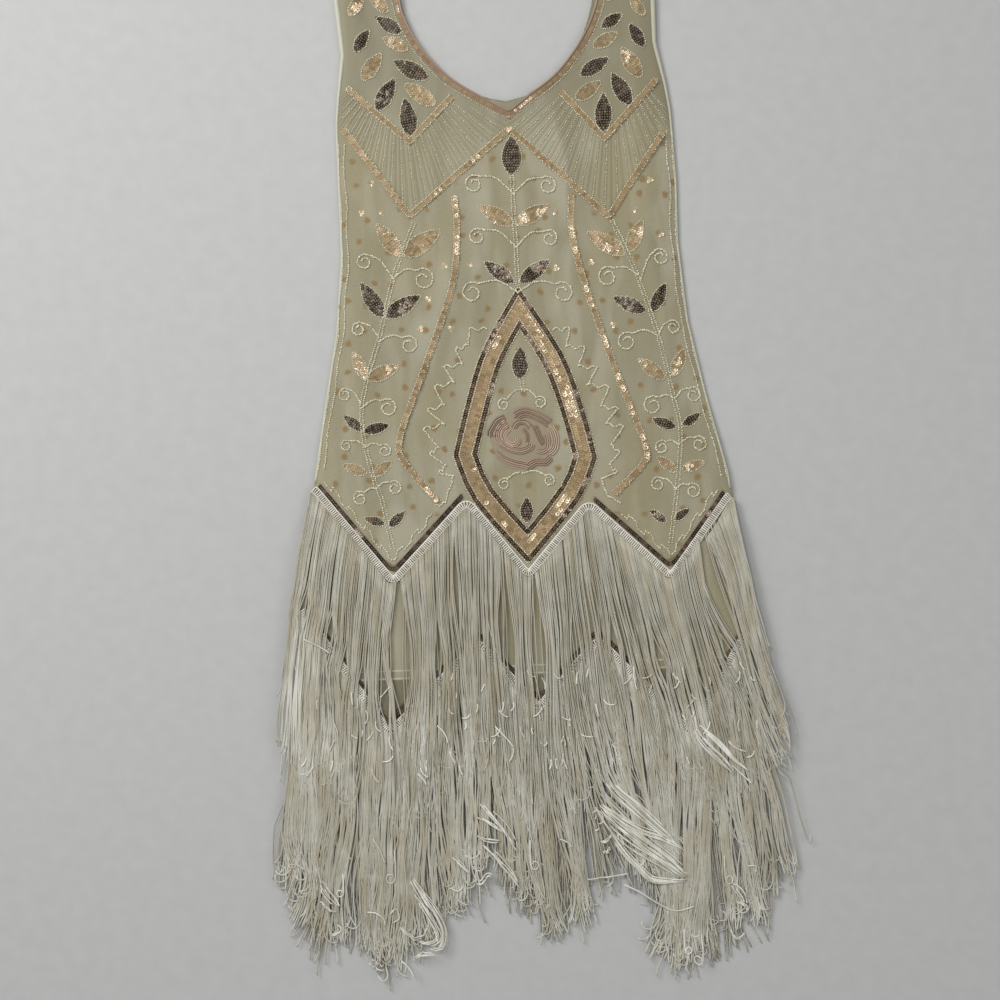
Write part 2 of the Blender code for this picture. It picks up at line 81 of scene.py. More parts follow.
# %% Camera
FRAME_WIDTH = 1.1
LENS_MM = 50.0
SENSOR_MM = 36.0
PHOTO_CENTRE = mm([-20.4, -44.2])
PHOTO_TURN = math.radians(-2.45)

camera_data = bpy.data.cameras.new("photo_camera")
camera_data.lens = LENS_MM
camera_data.sensor_width = SENSOR_MM
camera = bpy.data.objects.new("photo_camera", camera_data)
camera.location = (PHOTO_CENTRE[0], PHOTO_CENTRE[1], FRAME_WIDTH * LENS_MM / SENSOR_MM)
camera.rotation_euler = (0.0, 0.0, PHOTO_TURN)
bpy.context.scene.collection.objects.link(camera)
bpy.context.scene.camera = camera
print("camera height", round(camera.location.z, 3))

# %% [markdown]
# ## Light
#
# One large soft lamp from the upper left gives the folds and threads their shape, a weaker one fills
# the other side, and a small lamp near the camera lets a few tipped sequins and beads sparkle. The
# Standard view keeps cloth colours as they are chosen.

# %% Lamps and surroundings
bpy.context.scene.view_settings.view_transform = "Standard"


def area_lamp(name, place, size, power):
    data = bpy.data.lights.new(name, "AREA")
    data.size = size
    data.energy = power
    lamp = bpy.data.objects.new(name, data)
    lamp.location = place
    aim = Vector((0.0, 0.0, 0.0)) - Vector(place)
    lamp.rotation_euler = aim.to_track_quat("-Z", "Y").to_euler()
    bpy.context.scene.collection.objects.link(lamp)


area_lamp("key_lamp", (-1.5, 1.3, 1.7), 1.0, 34.0)
area_lamp("fill_lamp", (1.9, -0.6, 2.2), 1.6, 9.0)
SPARKLE_LAMP = (-0.55, 0.75, 2.1)
area_lamp("sparkle_lamp", SPARKLE_LAMP, 0.22, 9.0)

world = bpy.data.worlds.new("studio")
world.use_nodes = True
world.node_tree.nodes["Background"].inputs["Color"].default_value = (0.93, 0.96, 1.0, 1.0)
world.node_tree.nodes["Background"].inputs["Strength"].default_value = 0.42
bpy.context.scene.world = world

# %% [markdown]
# ## Materials
#
# Each material starts from what the real one is. Colours are written as they look on a screen, and
# one function turns them into the linear values that a shader needs. One more adds a node with its
# settings and its links.

# %% Colour and node helpers


def linear(hex_colour):
    """An sRGB hex colour as a linear colour with full opacity."""
    srgb = np.array([int(hex_colour[i:i + 2], 16) / 255 for i in (1, 3, 5)])
    low = srgb / 12.92
    high = ((srgb + 0.055) / 1.055) ** 2.4
    return (*np.where(srgb <= 0.04045, low, high).tolist(), 1.0)


def new_material(name, **shader_values):
    made = bpy.data.materials.new(name)
    made.use_nodes = True
    shader = made.node_tree.nodes["Principled BSDF"]
    for socket, value in shader_values.items():
        shader.inputs[socket.replace("_", " ")].default_value = value
    return made, made.node_tree, shader


def add_node(tree, kind, sockets=None, **settings):
    """Adds a node. A socket's value is a number, a colour or another node's output."""
    made = tree.nodes.new(kind)
    for setting, value in settings.items():
        setattr(made, setting, value)
    for socket, value in (sockets or {}).items():
        if isinstance(value, bpy.types.NodeSocket):
            tree.links.new(value, made.inputs[socket])
        else:
            made.inputs[socket].default_value = value
    return made


# %% [markdown]
# ### Net
#
# The cloth is a soft nylon net over a cream lining. Its threads are a fraction of a millimetre apart,
# too fine for this picture, so the mesh is drawn at 2.6 mm, faintly. Soft bands run down the cloth,
# paler and tan in turn: partly the lining showing through the net, partly painted shade of soft folds.
# Small brown dots are flocked on the net of the body, none quite round. In the two fans of the yoke
# the net is pinched into pleats that open from a point on each shoulder, with painted shade in their
# hollows. Below the lining's hem, the net lies over nothing pale, so it looks greyer, and the hem
# shows through as two lines of stitching. Values stored on the mesh say where the dots and the
# pleats are.

# %% Nylon net
NET_PERIOD = 2.6 * MM
DOT_SPACING = 33 * MM
DOT_RADIUS = 3.3 * MM
DOT_WOBBLE = 5 * MM
LINING_HEM_Y = -236 * MM
WAVE_LENGTH_AT_ONE = 2 * math.pi / 20
FAN_CENTRE = mm([117, 447])
FAN_MIDDLE_X = 5 * MM
PLEATS_PER_TURN = 150


def mix_colours(tree, factor, first, second, **settings):
    mixed = add_node(
        tree, "ShaderNodeMix", {"Factor": factor, "A": first, "B": second}, data_type="RGBA", **settings
    )
    return mixed.outputs["Result"]


def bump_from(tree, height, strength, distance, normal=None):
    sockets = {"Height": height, "Strength": strength, "Distance": distance}
    if normal:
        sockets["Normal"] = normal
    return add_node(tree, "ShaderNodeBump", sockets).outputs["Normal"]


def dot_factor(tree, place):
    """1 on a dot and 0 beside it. The dots wobble, so that none is quite round."""
    ragged = add_node(tree, "ShaderNodeTexNoise", {"Vector": place, "Scale": 170.0, "Detail": 1.0})
    wobbled = add_node(
        tree, "ShaderNodeVectorMath", {0: ragged.outputs["Color"], 1: (DOT_WOBBLE,) * 3, 2: place},
        operation="MULTIPLY_ADD",
    )
    cells = add_node(
        tree, "ShaderNodeTexVoronoi",
        {"Vector": wobbled.outputs["Vector"], "Scale": 1 / DOT_SPACING, "Randomness": 0.72},
        voronoi_dimensions="2D",
    )
    dot = add_node(
        tree, "ShaderNodeMapRange",
        {"Value": cells.outputs["Distance"], "From Min": 0.5 * DOT_RADIUS / DOT_SPACING,
         "From Max": 1.5 * DOT_RADIUS / DOT_SPACING, "To Min": 0.85, "To Max": 0.0},
        interpolation_type="SMOOTHSTEP",
    )
    body = add_node(tree, "ShaderNodeAttribute", attribute_name="body")
    shown = add_node(
        tree, "ShaderNodeMath", {0: dot.outputs["Result"], 1: body.outputs["Fac"]}, operation="MULTIPLY"
    )
    return shown.outputs["Value"]


def pleat_height(tree, place):
    """Waves across the angle round a fan's centre, only where the fans are."""
    apart = add_node(tree, "ShaderNodeSeparateXYZ", {"Vector": place})
    across = add_node(tree, "ShaderNodeMath", {0: apart.outputs["X"], 1: FAN_MIDDLE_X}, operation="SUBTRACT")
    folded = add_node(tree, "ShaderNodeMath", {0: across.outputs["Value"]}, operation="ABSOLUTE")
    out = add_node(
        tree, "ShaderNodeMath", {0: folded.outputs["Value"], 1: FAN_CENTRE[0]}, operation="SUBTRACT"
    )
    up = add_node(tree, "ShaderNodeMath", {0: apart.outputs["Y"], 1: FAN_CENTRE[1]}, operation="SUBTRACT")
    angle = add_node(
        tree, "ShaderNodeMath", {0: up.outputs["Value"], 1: out.outputs["Value"]}, operation="ARCTAN2"
    )
    turned = add_node(
        tree, "ShaderNodeMath", {0: angle.outputs["Value"], 1: float(PLEATS_PER_TURN)}, operation="MULTIPLY"
    )
    wave = add_node(tree, "ShaderNodeMath", {0: turned.outputs["Value"]}, operation="SINE")
    fan = add_node(tree, "ShaderNodeAttribute", attribute_name="fan")
    shown = add_node(
        tree, "ShaderNodeMath", {0: wave.outputs["Value"], 1: fan.outputs["Fac"]}, operation="MULTIPLY"
    )
    return shown.outputs["Value"]


def net_material(name, light, shade, tan, embroidered):
    made, tree, shader = new_material(
        name, Roughness=0.75, Sheen_Weight=0.12, Sheen_Roughness=0.5, Specular_IOR_Level=0.3
    )
    place = add_node(tree, "ShaderNodeTexCoord").outputs["Object"]
    # Soft bands down the cloth: partly the lining showing through, partly painted shade of soft folds.
    drawn_out = add_node(tree, "ShaderNodeMapping", {"Vector": place, "Scale": (1.0, 0.28, 1.0)})
    bands = add_node(
        tree, "ShaderNodeTexNoise",
        {"Vector": drawn_out.outputs["Vector"], "Scale": 34.0, "Detail": 2.0, "Distortion": 0.4},
    )
    banded = add_node(
        tree, "ShaderNodeMapRange", {"Value": bands.outputs["Fac"], "From Min": 0.36, "From Max": 0.64},
        interpolation_type="SMOOTHSTEP",
    )
    colour = mix_colours(tree, banded.outputs["Result"], linear(shade), linear(light))
    cloudy = add_node(tree, "ShaderNodeTexNoise", {"Vector": place, "Scale": 11.0, "Detail": 3.0})
    clouded = add_node(
        tree, "ShaderNodeMapRange",
        {"Value": cloudy.outputs["Fac"], "From Min": 0.4, "From Max": 0.75, "To Max": 0.7},
    )
    colour = mix_colours(tree, clouded.outputs["Result"], colour, linear(tan))
    grain = add_node(tree, "ShaderNodeTexNoise", {"Vector": place, "Scale": 420.0, "Detail": 2.0})
    colour = mix_colours(tree, 0.2, colour, grain.outputs["Color"], blend_type="SOFT_LIGHT")
    along = add_node(tree, "ShaderNodeSeparateXYZ", {"Vector": place}).outputs["Y"]
    strap = add_node(
        tree, "ShaderNodeMapRange",
        {"Value": along, "From Min": 0.33, "From Max": 0.42, "To Max": 0.5}, interpolation_type="SMOOTHSTEP",
    )
    colour = mix_colours(tree, strap.outputs["Result"], colour, linear("#7F7861"))
    normal = None
    if embroidered:
        colour = mix_colours(tree, dot_factor(tree, place), colour, linear("#8C7146"))
        below = add_node(
            tree, "ShaderNodeMapRange",
            {"Value": along, "From Min": LINING_HEM_Y + 0.6 * MM, "From Max": LINING_HEM_Y - 0.6 * MM},
        )
        colour = mix_colours(tree, below.outputs["Result"], colour, linear("#7F7963"))
        for stitched_y in (LINING_HEM_Y + 1.5 * MM, LINING_HEM_Y + 10 * MM):
            away = add_node(
                tree, "ShaderNodeMath", {0: along, 1: stitched_y, 2: 0.9 * MM}, operation="COMPARE"
            )
            colour = mix_colours(tree, away.outputs["Value"], colour, linear("#C4C0A8"))
        pleats = pleat_height(tree, place)
        # The pleats' hollows get painted shade.
        shadow = add_node(
            tree, "ShaderNodeMapRange",
            {"Value": pleats, "From Min": -1.0, "From Max": 0.3, "To Min": 0.34, "To Max": 0.0},
        )
        colour = mix_colours(tree, shadow.outputs["Result"], colour, linear("#7C7358"))
        normal = bump_from(tree, pleats, 0.4, 0.8 * MM)
    tree.links.new(colour, shader.inputs["Base Color"])
    for turn in (45, -45):
        turned = add_node(
            tree, "ShaderNodeMapping", {"Vector": place, "Rotation": (0.0, 0.0, math.radians(turn))}
        )
        threads = add_node(
            tree, "ShaderNodeTexWave",
            {"Vector": turned.outputs["Vector"], "Scale": WAVE_LENGTH_AT_ONE / NET_PERIOD, "Distortion": 0.6},
        )
        normal = bump_from(tree, threads.outputs["Fac"], 0.25, 0.25 * MM, normal)
    tree.links.new(normal, shader.inputs["Normal"])
    return made


embroidered_net = net_material("nylon_net_embroidered", "#AAA48D", "#979076", "#9A8E6C", True)
plain_net = net_material("nylon_net_plain", "#A59F88", "#8F8870", "#948966", False)
print("net mesh drawn at", NET_PERIOD / MM, "mm")

# %% [markdown]
# ### Lining
#
# The lining is a thin plain-woven polyester, smoother than the net, with a faint sheen and fine
# straight ribs. It shows at the neckline, at the hem between the threads, and where the dress is
# turned to its side.

# %% Polyester lining
lining_cloth, tree, shader = new_material("polyester_lining", Roughness=0.5, Specular_IOR_Level=0.4)
place = add_node(tree, "ShaderNodeTexCoord").outputs["Object"]
cloudy = add_node(tree, "ShaderNodeTexNoise", {"Vector": place, "Scale": 9.0, "Detail": 3.0})
colour = mix_colours(tree, cloudy.outputs["Fac"], linear("#A59E80"), linear("#B9B294"))
tree.links.new(colour, shader.inputs["Base Color"])
ribs = add_node(tree, "ShaderNodeTexWave", {"Vector": place, "Scale": WAVE_LENGTH_AT_ONE / (1.2 * MM)})
tree.links.new(bump_from(tree, ribs.outputs["Fac"], 0.3, 0.1 * MM), shader.inputs["Normal"])

# %% [markdown]
# ### Thread, braid and embroidery silk
#
# The fringe is twisted viscose: ivory, smooth enough for a satin highlight, and never quite one
# colour. Each copied thread carries a tone value from 0 to 1, and the material mixes its darkest and
# lightest colour by it, so one material serves fringe, braid, tape and the rose.

# %% Viscose materials


def thread_material(name, dark, light, roughness, twist_period=0.0, sheen=0.2, warm=None):
    made, tree, shader = new_material(
        name, Roughness=roughness, Sheen_Weight=sheen, Sheen_Roughness=0.4, Specular_IOR_Level=0.5
    )
    place = add_node(tree, "ShaderNodeTexCoord").outputs["Object"]
    tone = add_node(tree, "ShaderNodeAttribute", attribute_name="tone")
    slubs = add_node(tree, "ShaderNodeTexNoise", {"Vector": place, "Scale": 55.0, "Detail": 2.0})
    uneven = add_node(
        tree, "ShaderNodeMapRange",
        {"Value": slubs.outputs["Fac"], "From Min": 0.3, "From Max": 0.7, "To Min": -0.07, "To Max": 0.07},
    )
    mixed = add_node(
        tree, "ShaderNodeMath", {0: tone.outputs["Fac"], 1: uneven.outputs["Result"]},
        operation="ADD", use_clamp=True,
    )
    colour = mix_colours(tree, mixed.outputs["Value"], linear(dark), linear(light))
    if warm:
        drawn_out = add_node(tree, "ShaderNodeMapping", {"Vector": place, "Scale": (1.0, 0.16, 1.0)})
        areas = add_node(
            tree, "ShaderNodeTexNoise", {"Vector": drawn_out.outputs["Vector"], "Scale": 85.0, "Detail": 1.0}
        )
        aged = add_node(
            tree, "ShaderNodeMapRange",
            {"Value": areas.outputs["Fac"], "From Min": 0.42, "From Max": 0.66, "To Max": 0.36},
            interpolation_type="SMOOTHSTEP",
        )
        colour = mix_colours(tree, aged.outputs["Result"], colour, linear(warm))
    tree.links.new(colour, shader.inputs["Base Color"])
    if twist_period:
        turned = add_node(
            tree, "ShaderNodeMapping", {"Vector": place, "Rotation": (0.0, 0.0, math.radians(35))}
        )
        twist = add_node(
            tree, "ShaderNodeTexWave",
            {"Vector": turned.outputs["Vector"], "Scale": WAVE_LENGTH_AT_ONE / twist_period,
             "Distortion": 1.5, "Detail Scale": 3.0},
            bands_direction="Y",
        )
        normal = bump_from(tree, twist.outputs["Fac"], 0.3, 0.2 * MM)
        tree.links.new(normal, shader.inputs["Normal"])
    return made


fringe_thread = thread_material(
    "viscose_fringe_thread", "#918A72", "#F6F4E8", 0.36, 2.2 * MM, warm="#AE9F7E"
)
braid_thread = thread_material("viscose_braid", "#BDB6A2", "#F8F4E8", 0.42)
# A cotton tape, coloured dark as painted shade between the braid's ribs.
tape_and_painted_shade = thread_material("cotton_tape_and_painted_shade", "#6F664F", "#857B60", 0.8)
peach_satin = thread_material("satin_tape_peach", "#957B54", "#A68B62", 0.45)
bronze_satin = thread_material("satin_tape_bronze", "#75664F", "#94836A", 0.5)
rose_silk = thread_material("rayon_embroidery_silk", "#7A604C", "#C9AE98", 0.4)
rose_padding = thread_material("cotton_padding", "#93856A", "#A0937A", 0.8)
rolled_net = thread_material("nylon_net_rolled", "#A6A38C", "#CFCDB8", 0.7)
piping_satin = thread_material("satin_piping", "#8A7159", "#AC9480", 0.4)

# %% [markdown]
# ### Sequins and beads
#
# Sequins are punched from metallised polyester film: coloured, shiny, and each a little different in
# how it lies. The beads are small cream glass seed beads with a wet gloss.

# %% Metallised film and seed beads


def film_material(name, dark, light, metallic, gloss):
    made, tree, shader = new_material(
        name, Roughness=0.42, Metallic=metallic, Specular_IOR_Level=gloss, Coat_Weight=gloss,
        Coat_Roughness=0.1,
    )
    tone = add_node(tree, "ShaderNodeAttribute", attribute_name="tone")
    colour = mix_colours(tree, tone.outputs["Fac"], linear(dark), linear(light))
    tree.links.new(colour, shader.inputs["Base Color"])
    return made


peach_film = film_material("polyester_sequin_film_peach", "#8B744F", "#CCB28A", 0.18, 0.3)
bronze_film = film_material("polyester_sequin_film_bronze", "#2A2017", "#8E7866", 0.25, 0.12)
seed_glass = thread_material("glass_seed_beads", "#B4AC88", "#EBE5CB", 0.18, sheen=0.0)
print("materials:", len(bpy.data.materials))

# %% [markdown]
# ## Making and reading meshes
#
# Small repeated things are modelled once as a pattern. The pattern's points and triangles
# are then read, and the copies are laid out with arrays and joined into one mesh per kind.

# %% Mesh helpers


def finish_piece(obj, material):
    """Gives a piece its material and says what it rides on."""
    obj.data.materials.clear()
    obj.data.materials.append(material)
    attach(obj, "root")
    return obj


def piece_from_arrays(name, points, faces, tone, material, smooth=True):
    """One joined mesh, its faces outwards, with a tone for each point."""
    corners = points[faces]
    volume = np.einsum("ij,ij->", corners[:, 0], np.cross(corners[:, 1], corners[:, 2])) / 6
    if volume < 0:
        faces = faces[:, ::-1]
    mesh = bpy.data.meshes.new(name)
    mesh.from_pydata(points, [], faces)
    stored = mesh.attributes.new("tone", "FLOAT", "POINT")
    stored.data.foreach_set("value", np.ascontiguousarray(tone, np.float32))
    obj = bpy.data.objects.new(name, mesh)
    bpy.context.scene.collection.objects.link(obj)
    if smooth:
        mesh.shade_smooth()
    print(f"{name}: {len(faces):,} triangles")
    return finish_piece(obj, material)


def read_pattern(obj):
    """The points and triangles of a pattern, which is then removed."""
    bm = bmesh.new()
    bm.from_mesh(obj.data)
    bmesh.ops.triangulate(bm, faces=bm.faces[:])
    points = np.array([vert.co[:] for vert in bm.verts])
    faces = np.array([[vert.index for vert in face.verts] for face in bm.faces])
    bm.free()
    bpy.data.objects.remove(obj, do_unlink=True)
    return points, faces


# %% [markdown]
# ## The panels of cloth
#
# The CAD panels are flat shells with few faces. A copy of each is merged, its triangles are joined
# back into quads, and Subdivision Surface rounds it, so the cut stays the CAD's. The front is then
# lifted into faint creases that run down the body. A cloth simulation would only let it sink onto the
# lining, where it lies already, so the creases are drawn instead.

# %% Rounded copies of the panels


def rounded_copy(node_name, name, levels, material):
    """A subdivided copy of a CAD panel that stands for it."""
    bpy.ops.object.select_all(action="DESELECT")
    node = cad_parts[node_name]
    obj = bpy.data.objects.new(name, node.data.copy())
    bpy.context.scene.collection.objects.link(obj)
    obj.select_set(True)
    bpy.context.view_layer.objects.active = obj
    bpy.ops.object.mode_set(mode="EDIT")
    bpy.ops.mesh.select_all(action="SELECT")
    bpy.ops.mesh.remove_doubles(threshold=0.02 * MM)
    bpy.ops.mesh.tris_convert_to_quads(face_threshold=math.radians(60), shape_threshold=math.radians(60))
    bpy.ops.object.mode_set(mode="OBJECT")
    smooth = obj.modifiers.new("Round", "SUBSURF")
    smooth.levels = levels
    smooth.render_levels = levels
    bpy.ops.object.modifier_apply(modifier=smooth.name)
    obj.data.shade_smooth()
    finish_piece(obj, material)
    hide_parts(node_name)
    print(f"{name}: {len(obj.data.polygons):,} quads")
    return obj


back_cloth = rounded_copy("back_panel", "back_cloth", 1, plain_net)
lining_piece = rounded_copy("lining", "lining_cloth", 1, lining_cloth)
front_cloth = rounded_copy("front_panel", "front_cloth", 2, embroidered_net)

# %% [markdown]
# ## The outline of the dress
#
# These tables repeat the CAD part's own sizes: the side seams, the neckline and the two zigzag seams.
# The trim and the fringe are laid out from them.

# %% Tables of the cut
CENTRE_X = 7.5 * MM
SIDES = mm([
    (587.5, -182, 174), (510, -179, 173), (450, -174, 172), (405, -180, 181), (375, -183, 185),
    (300, -183, 188), (230, -183, 187), (145, -192, 194), (65, -208, 210), (-25, -224, 231),
    (-100, -238, 240), (-200, -248, 249), (-320, -256, 257),
])
NECKLINE = mm([
    (587.5, -110, 112), (510, -107, 110), (485, -101, 104), (462, -90, 93), (440, -74, 78),
    (418, -52, 58), (398, -21, 30), (381.5, 7.5, 7.5),
])
UPPER_ZIGZAG = mm([(-225, -22), (-141, -130), (-57, -45), (7, -129), (76, -53), (163, -137), (232, -48)])
LOWER_ZIGZAG = mm([
    (-245, -151), (-152, -295), (-51, -199), (12, -274), (80, -202), (178, -309), (243, -199),
])
CORNER_ROUNDING = 5 * MM


def side_x(y, side):
    """Where a side seam is at height y: side is -1 for left and 1 for right."""
    column = 1 if side < 0 else 2
    return np.interp(-np.asarray(y), -SIDES[:, 0], SIDES[:, column])


def seam_height(x, corners):
    """A zigzag seam's height at x, with its corners rounded."""
    steps = (-1.0, -0.5, 0.0, 0.5, 1.0)
    heights = [np.interp(x + k * CORNER_ROUNDING, corners[:, 0], corners[:, 1]) for k in steps]
    return sum(heights) / len(steps)


def flat_top(y):
    """Height of the flat front: the layers below it rise over the back's two tiers of fringe."""
    over_upper = 2.4 * MM * smoothstep(y, 65 * MM, -8 * MM)
    over_lower = 2.5 * MM * smoothstep(y, -38 * MM, -126 * MM)
    return 5.0 * MM + over_upper + over_lower


# %% [markdown]
# ## Creases, and where dots and pleats are
#
# The creases are a sum of long waves that run mostly down the body. They only lift the cloth, never
# push it into the lining, and fade out at the edges. Near the upper fringe the faces of the copy are
# long and askew, so a fold would kink there: the front is laid flat from there down, and most of that
# lies under the fringe. The same pass stores two values for the net: one on the body, between the yoke
# and the upper fringe, for the dots, and one in the fans, for the pleats.

# %% Creases on the front
YOKE_BAND = mm([(-174, 368), (-106, 271), (7.5, 362), (112, 261), (176, 351)])
FAN_TOP = mm([
    (-185, 404), (-168, 413), (-103, 352), (-54, 400), (7.5, 374), (66, 399), (111, 347), (170, 408),
    (190, 400),
])
CREASES = 16
CREASE_SPACING = (22 * MM, 60 * MM)
CREASE_LEAN = 0.22
CREASE_RUN = (150 * MM, 400 * MM)
CREASE_HEIGHT = 1.2 * MM
LEVEL_REACH = 0.45 * MM
CALM_FROM = (-22 * MM, 25 * MM)


def height_of(line, x):
    return np.interp(x, line[:, 0], line[:, 1])


points = np.empty(len(front_cloth.data.vertices) * 3)
front_cloth.data.vertices.foreach_get("co", points)
points = points.reshape(-1, 3)
x, y = points[:, 0], points[:, 1]
calm = smoothstep(y, *CALM_FROM)
above_level = points[:, 2] - flat_top(y)
on_top = above_level > -LEVEL_REACH
points[on_top, 2] = (flat_top(y) + above_level * calm)[on_top]
lift = np.zeros(len(points))
for _ in range(CREASES):
    across = 2 * math.pi / chance.uniform(*CREASE_SPACING)
    lean = chance.normal(0.0, CREASE_LEAN)
    slow = 2 * math.pi / chance.uniform(*CREASE_RUN)
    wave = np.sin(across * (x + lean * y) + chance.uniform(0, 6.28))
    lift += wave * (0.5 + 0.5 * np.sin(slow * y + chance.uniform(0, 6.28)))
lift = CREASE_HEIGHT * np.clip(0.35 + lift / CREASES ** 0.5, 0.0, 1.6)
from_side = np.minimum(x - side_x(y, -1), side_x(y, 1) - x)
from_seam = y - seam_height(x, LOWER_ZIGZAG)
edge_fade = smoothstep(from_side, 3 * MM, 16 * MM) * smoothstep(from_seam, 2 * MM, 30 * MM)
points[:, 2] += lift * calm * edge_fade * smoothstep(y, 0.58, 0.5)
front_cloth.data.vertices.foreach_set("co", points.ravel())
below_yoke = smoothstep(height_of(YOKE_BAND, x) - y, 2 * MM, 12 * MM)
above_seam = smoothstep(y - seam_height(x, UPPER_ZIGZAG), 8 * MM, 18 * MM)
in_fan = smoothstep(height_of(FAN_TOP, x) - y, 1 * MM, 7 * MM)
in_fan = in_fan * smoothstep(y - height_of(YOKE_BAND, x), 1 * MM, 7 * MM)
for name, value in (("body", below_yoke * above_seam), ("fan", in_fan)):
    stored = front_cloth.data.attributes.new(name, "FLOAT", "POINT")
    stored.data.foreach_set("value", value.astype(np.float32))
front_cloth.data.update()
print("highest crease", round(float((lift * edge_fade).max() / MM), 2), "mm")

# %% [markdown]
# ## What the trim lies on
#
# Beads and sequins are sewn on, so each one has to touch what it is sewn to. A search tree of the
# finished cloth gives the height and the slope under any place. A second one adds the bands of trim.
# The CAD's own bands keep their shape and become the satin tape under the sequins.

# %% Search trees
BAND_NODES = [
    "neck_binding_front", "yoke_band", "yoke_point_left", "yoke_point_right",
    "princess_band_left", "princess_band_right", "lozenge_frame",
]
DARK_NODES = ["zigzag_band_upper_left", "zigzag_band_upper_right", "zigzag_band_lower"]
for name in BAND_NODES:
    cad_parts[name].data.materials.clear()
    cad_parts[name].data.materials.append(peach_satin)
for name in DARK_NODES:
    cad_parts[name].data.materials.clear()
    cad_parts[name].data.materials.append(bronze_satin)
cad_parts["neck_binding_front"].data.materials[0] = piping_satin


def tree_of(objects):
    bm = bmesh.new()
    for obj in objects:
        bm.from_mesh(obj.data)
    tree = BVHTree.FromBMesh(bm)
    bm.free()
    return tree


def on_surface(places, tree):
    """Places on the surface below each (x, y), and the way up there."""
    found = np.zeros((len(places), 3))
    ups = np.tile([0.0, 0.0, 1.0], (len(places), 1))
    for i, (px, py) in enumerate(places[:, :2]):
        spot, up, _, _ = tree.ray_cast(Vector((px, py, 1.0)), Vector((0.0, 0.0, -1.0)))
        if spot is None:
            found[i] = (px, py, flat_top(py))
        else:
            found[i] = spot
            if up.z > 0.6:
                ups[i] = up
    return found, ups


cloth_tree = tree_of([front_cloth])
trimmed_tree = tree_of([front_cloth] + [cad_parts[name] for name in BAND_NODES + DARK_NODES])

# %% [markdown]
# ## Lines to sew along
#
# Most of the decoration follows lines: straight legs between corners, or smooth curves through a few
# chosen points. A line is then walked in even steps, because beads and sequins are all one size.

# %% Lines and walks


def curve(corners, steps=8):
    """A smooth curve through a few chosen points."""
    knots = np.asarray(corners, float)
    last = len(knots) - 1
    made = []
    for i in range(last):
        a, b, c, d = (knots[min(last, max(0, i + k))] for k in (-1, 0, 1, 2))
        for t in np.arange(steps) / steps:
            bend = (2 * a - 5 * b + 4 * c - d) * t**2 + (3 * b - 3 * c + d - a) * t**3
            made.append(0.5 * (2 * b + (c - a) * t + bend))
    return np.array(made + [knots[-1]])


def travelled(path):
    """How far along a path each of its points is."""
    gaps = np.linalg.norm(np.diff(path, axis=0), axis=1)
    return np.concatenate([[0.0], np.cumsum(gaps)])


def at_shares(path, shares):
    """Places at given shares of a path's length."""
    so_far = travelled(path)
    at = np.asarray(shares) * so_far[-1]
    return np.stack([np.interp(at, so_far, path[:, k]) for k in (0, 1)], axis=-1)


def walk(path, pitch):
    """Even steps along a path: the places, and the heading at each."""
    count = max(2, round(travelled(path)[-1] / pitch) + 1)
    places = at_shares(path, np.linspace(0.0, 1.0, count))
    ahead = np.gradient(places, axis=0)
    return places, np.arctan2(ahead[:, 1], ahead[:, 0])


def beside(path, offset):
    """A path moved sideways: to the left of its heading where offset is positive."""
    ahead = np.gradient(path, axis=0)
    ahead /= np.maximum(np.linalg.norm(ahead, axis=1, keepdims=True), 1e-9)
    return path + offset * np.stack([-ahead[:, 1], ahead[:, 0]], axis=1)


# %% [markdown]
# ## A sequin and a bead
#
# The real sequin is a 5 mm disc with a small hole, slightly cupped. It is modelled from a circle: the
# rim is extruded inwards to the hole, the hole is pushed down for the cup, and Solidify gives it
# thickness. The bead is a small ball pressed flat, since a seed bead is wider than it is tall. There
# are thousands of each, so both have only a few dozen faces.

# %% The sequin pattern
SEQUIN_RADIUS = 2.5 * MM
HOLE_SHARE = 0.34
CUP_DEPTH = 0.05 * MM
FILM_THICK = 0.16 * MM

bpy.ops.object.select_all(action="DESELECT")
bpy.ops.mesh.primitive_circle_add(vertices=8, radius=SEQUIN_RADIUS, fill_type="NOTHING")
sequin = bpy.context.object
bpy.ops.object.mode_set(mode="EDIT")
bpy.ops.mesh.select_all(action="SELECT")
bpy.ops.mesh.extrude_edges_move()
bpy.ops.transform.resize(value=(HOLE_SHARE, HOLE_SHARE, 1.0))
bpy.ops.transform.translate(value=(0.0, 0.0, -CUP_DEPTH))
bpy.ops.object.mode_set(mode="OBJECT")
film = sequin.modifiers.new("Film", "SOLIDIFY")
film.thickness = FILM_THICK
bpy.ops.object.modifier_apply(modifier=film.name)
SEQUIN = read_pattern(sequin)
print("sequin pattern:", len(SEQUIN[1]), "triangles")

# %% The bead pattern
BEAD_RADIUS = 1.0 * MM

bpy.ops.object.select_all(action="DESELECT")
bpy.ops.mesh.primitive_ico_sphere_add(subdivisions=1, radius=BEAD_RADIUS)
bead = bpy.context.object
bpy.ops.object.mode_set(mode="EDIT")
bpy.ops.mesh.select_all(action="SELECT")
bpy.ops.transform.resize(value=(1.0, 1.0, 0.8))
bpy.ops.object.mode_set(mode="OBJECT")
BEAD = read_pattern(bead)
print("bead pattern:", len(BEAD[1]), "triangles")

# %% Laying copies of a pattern on the dress


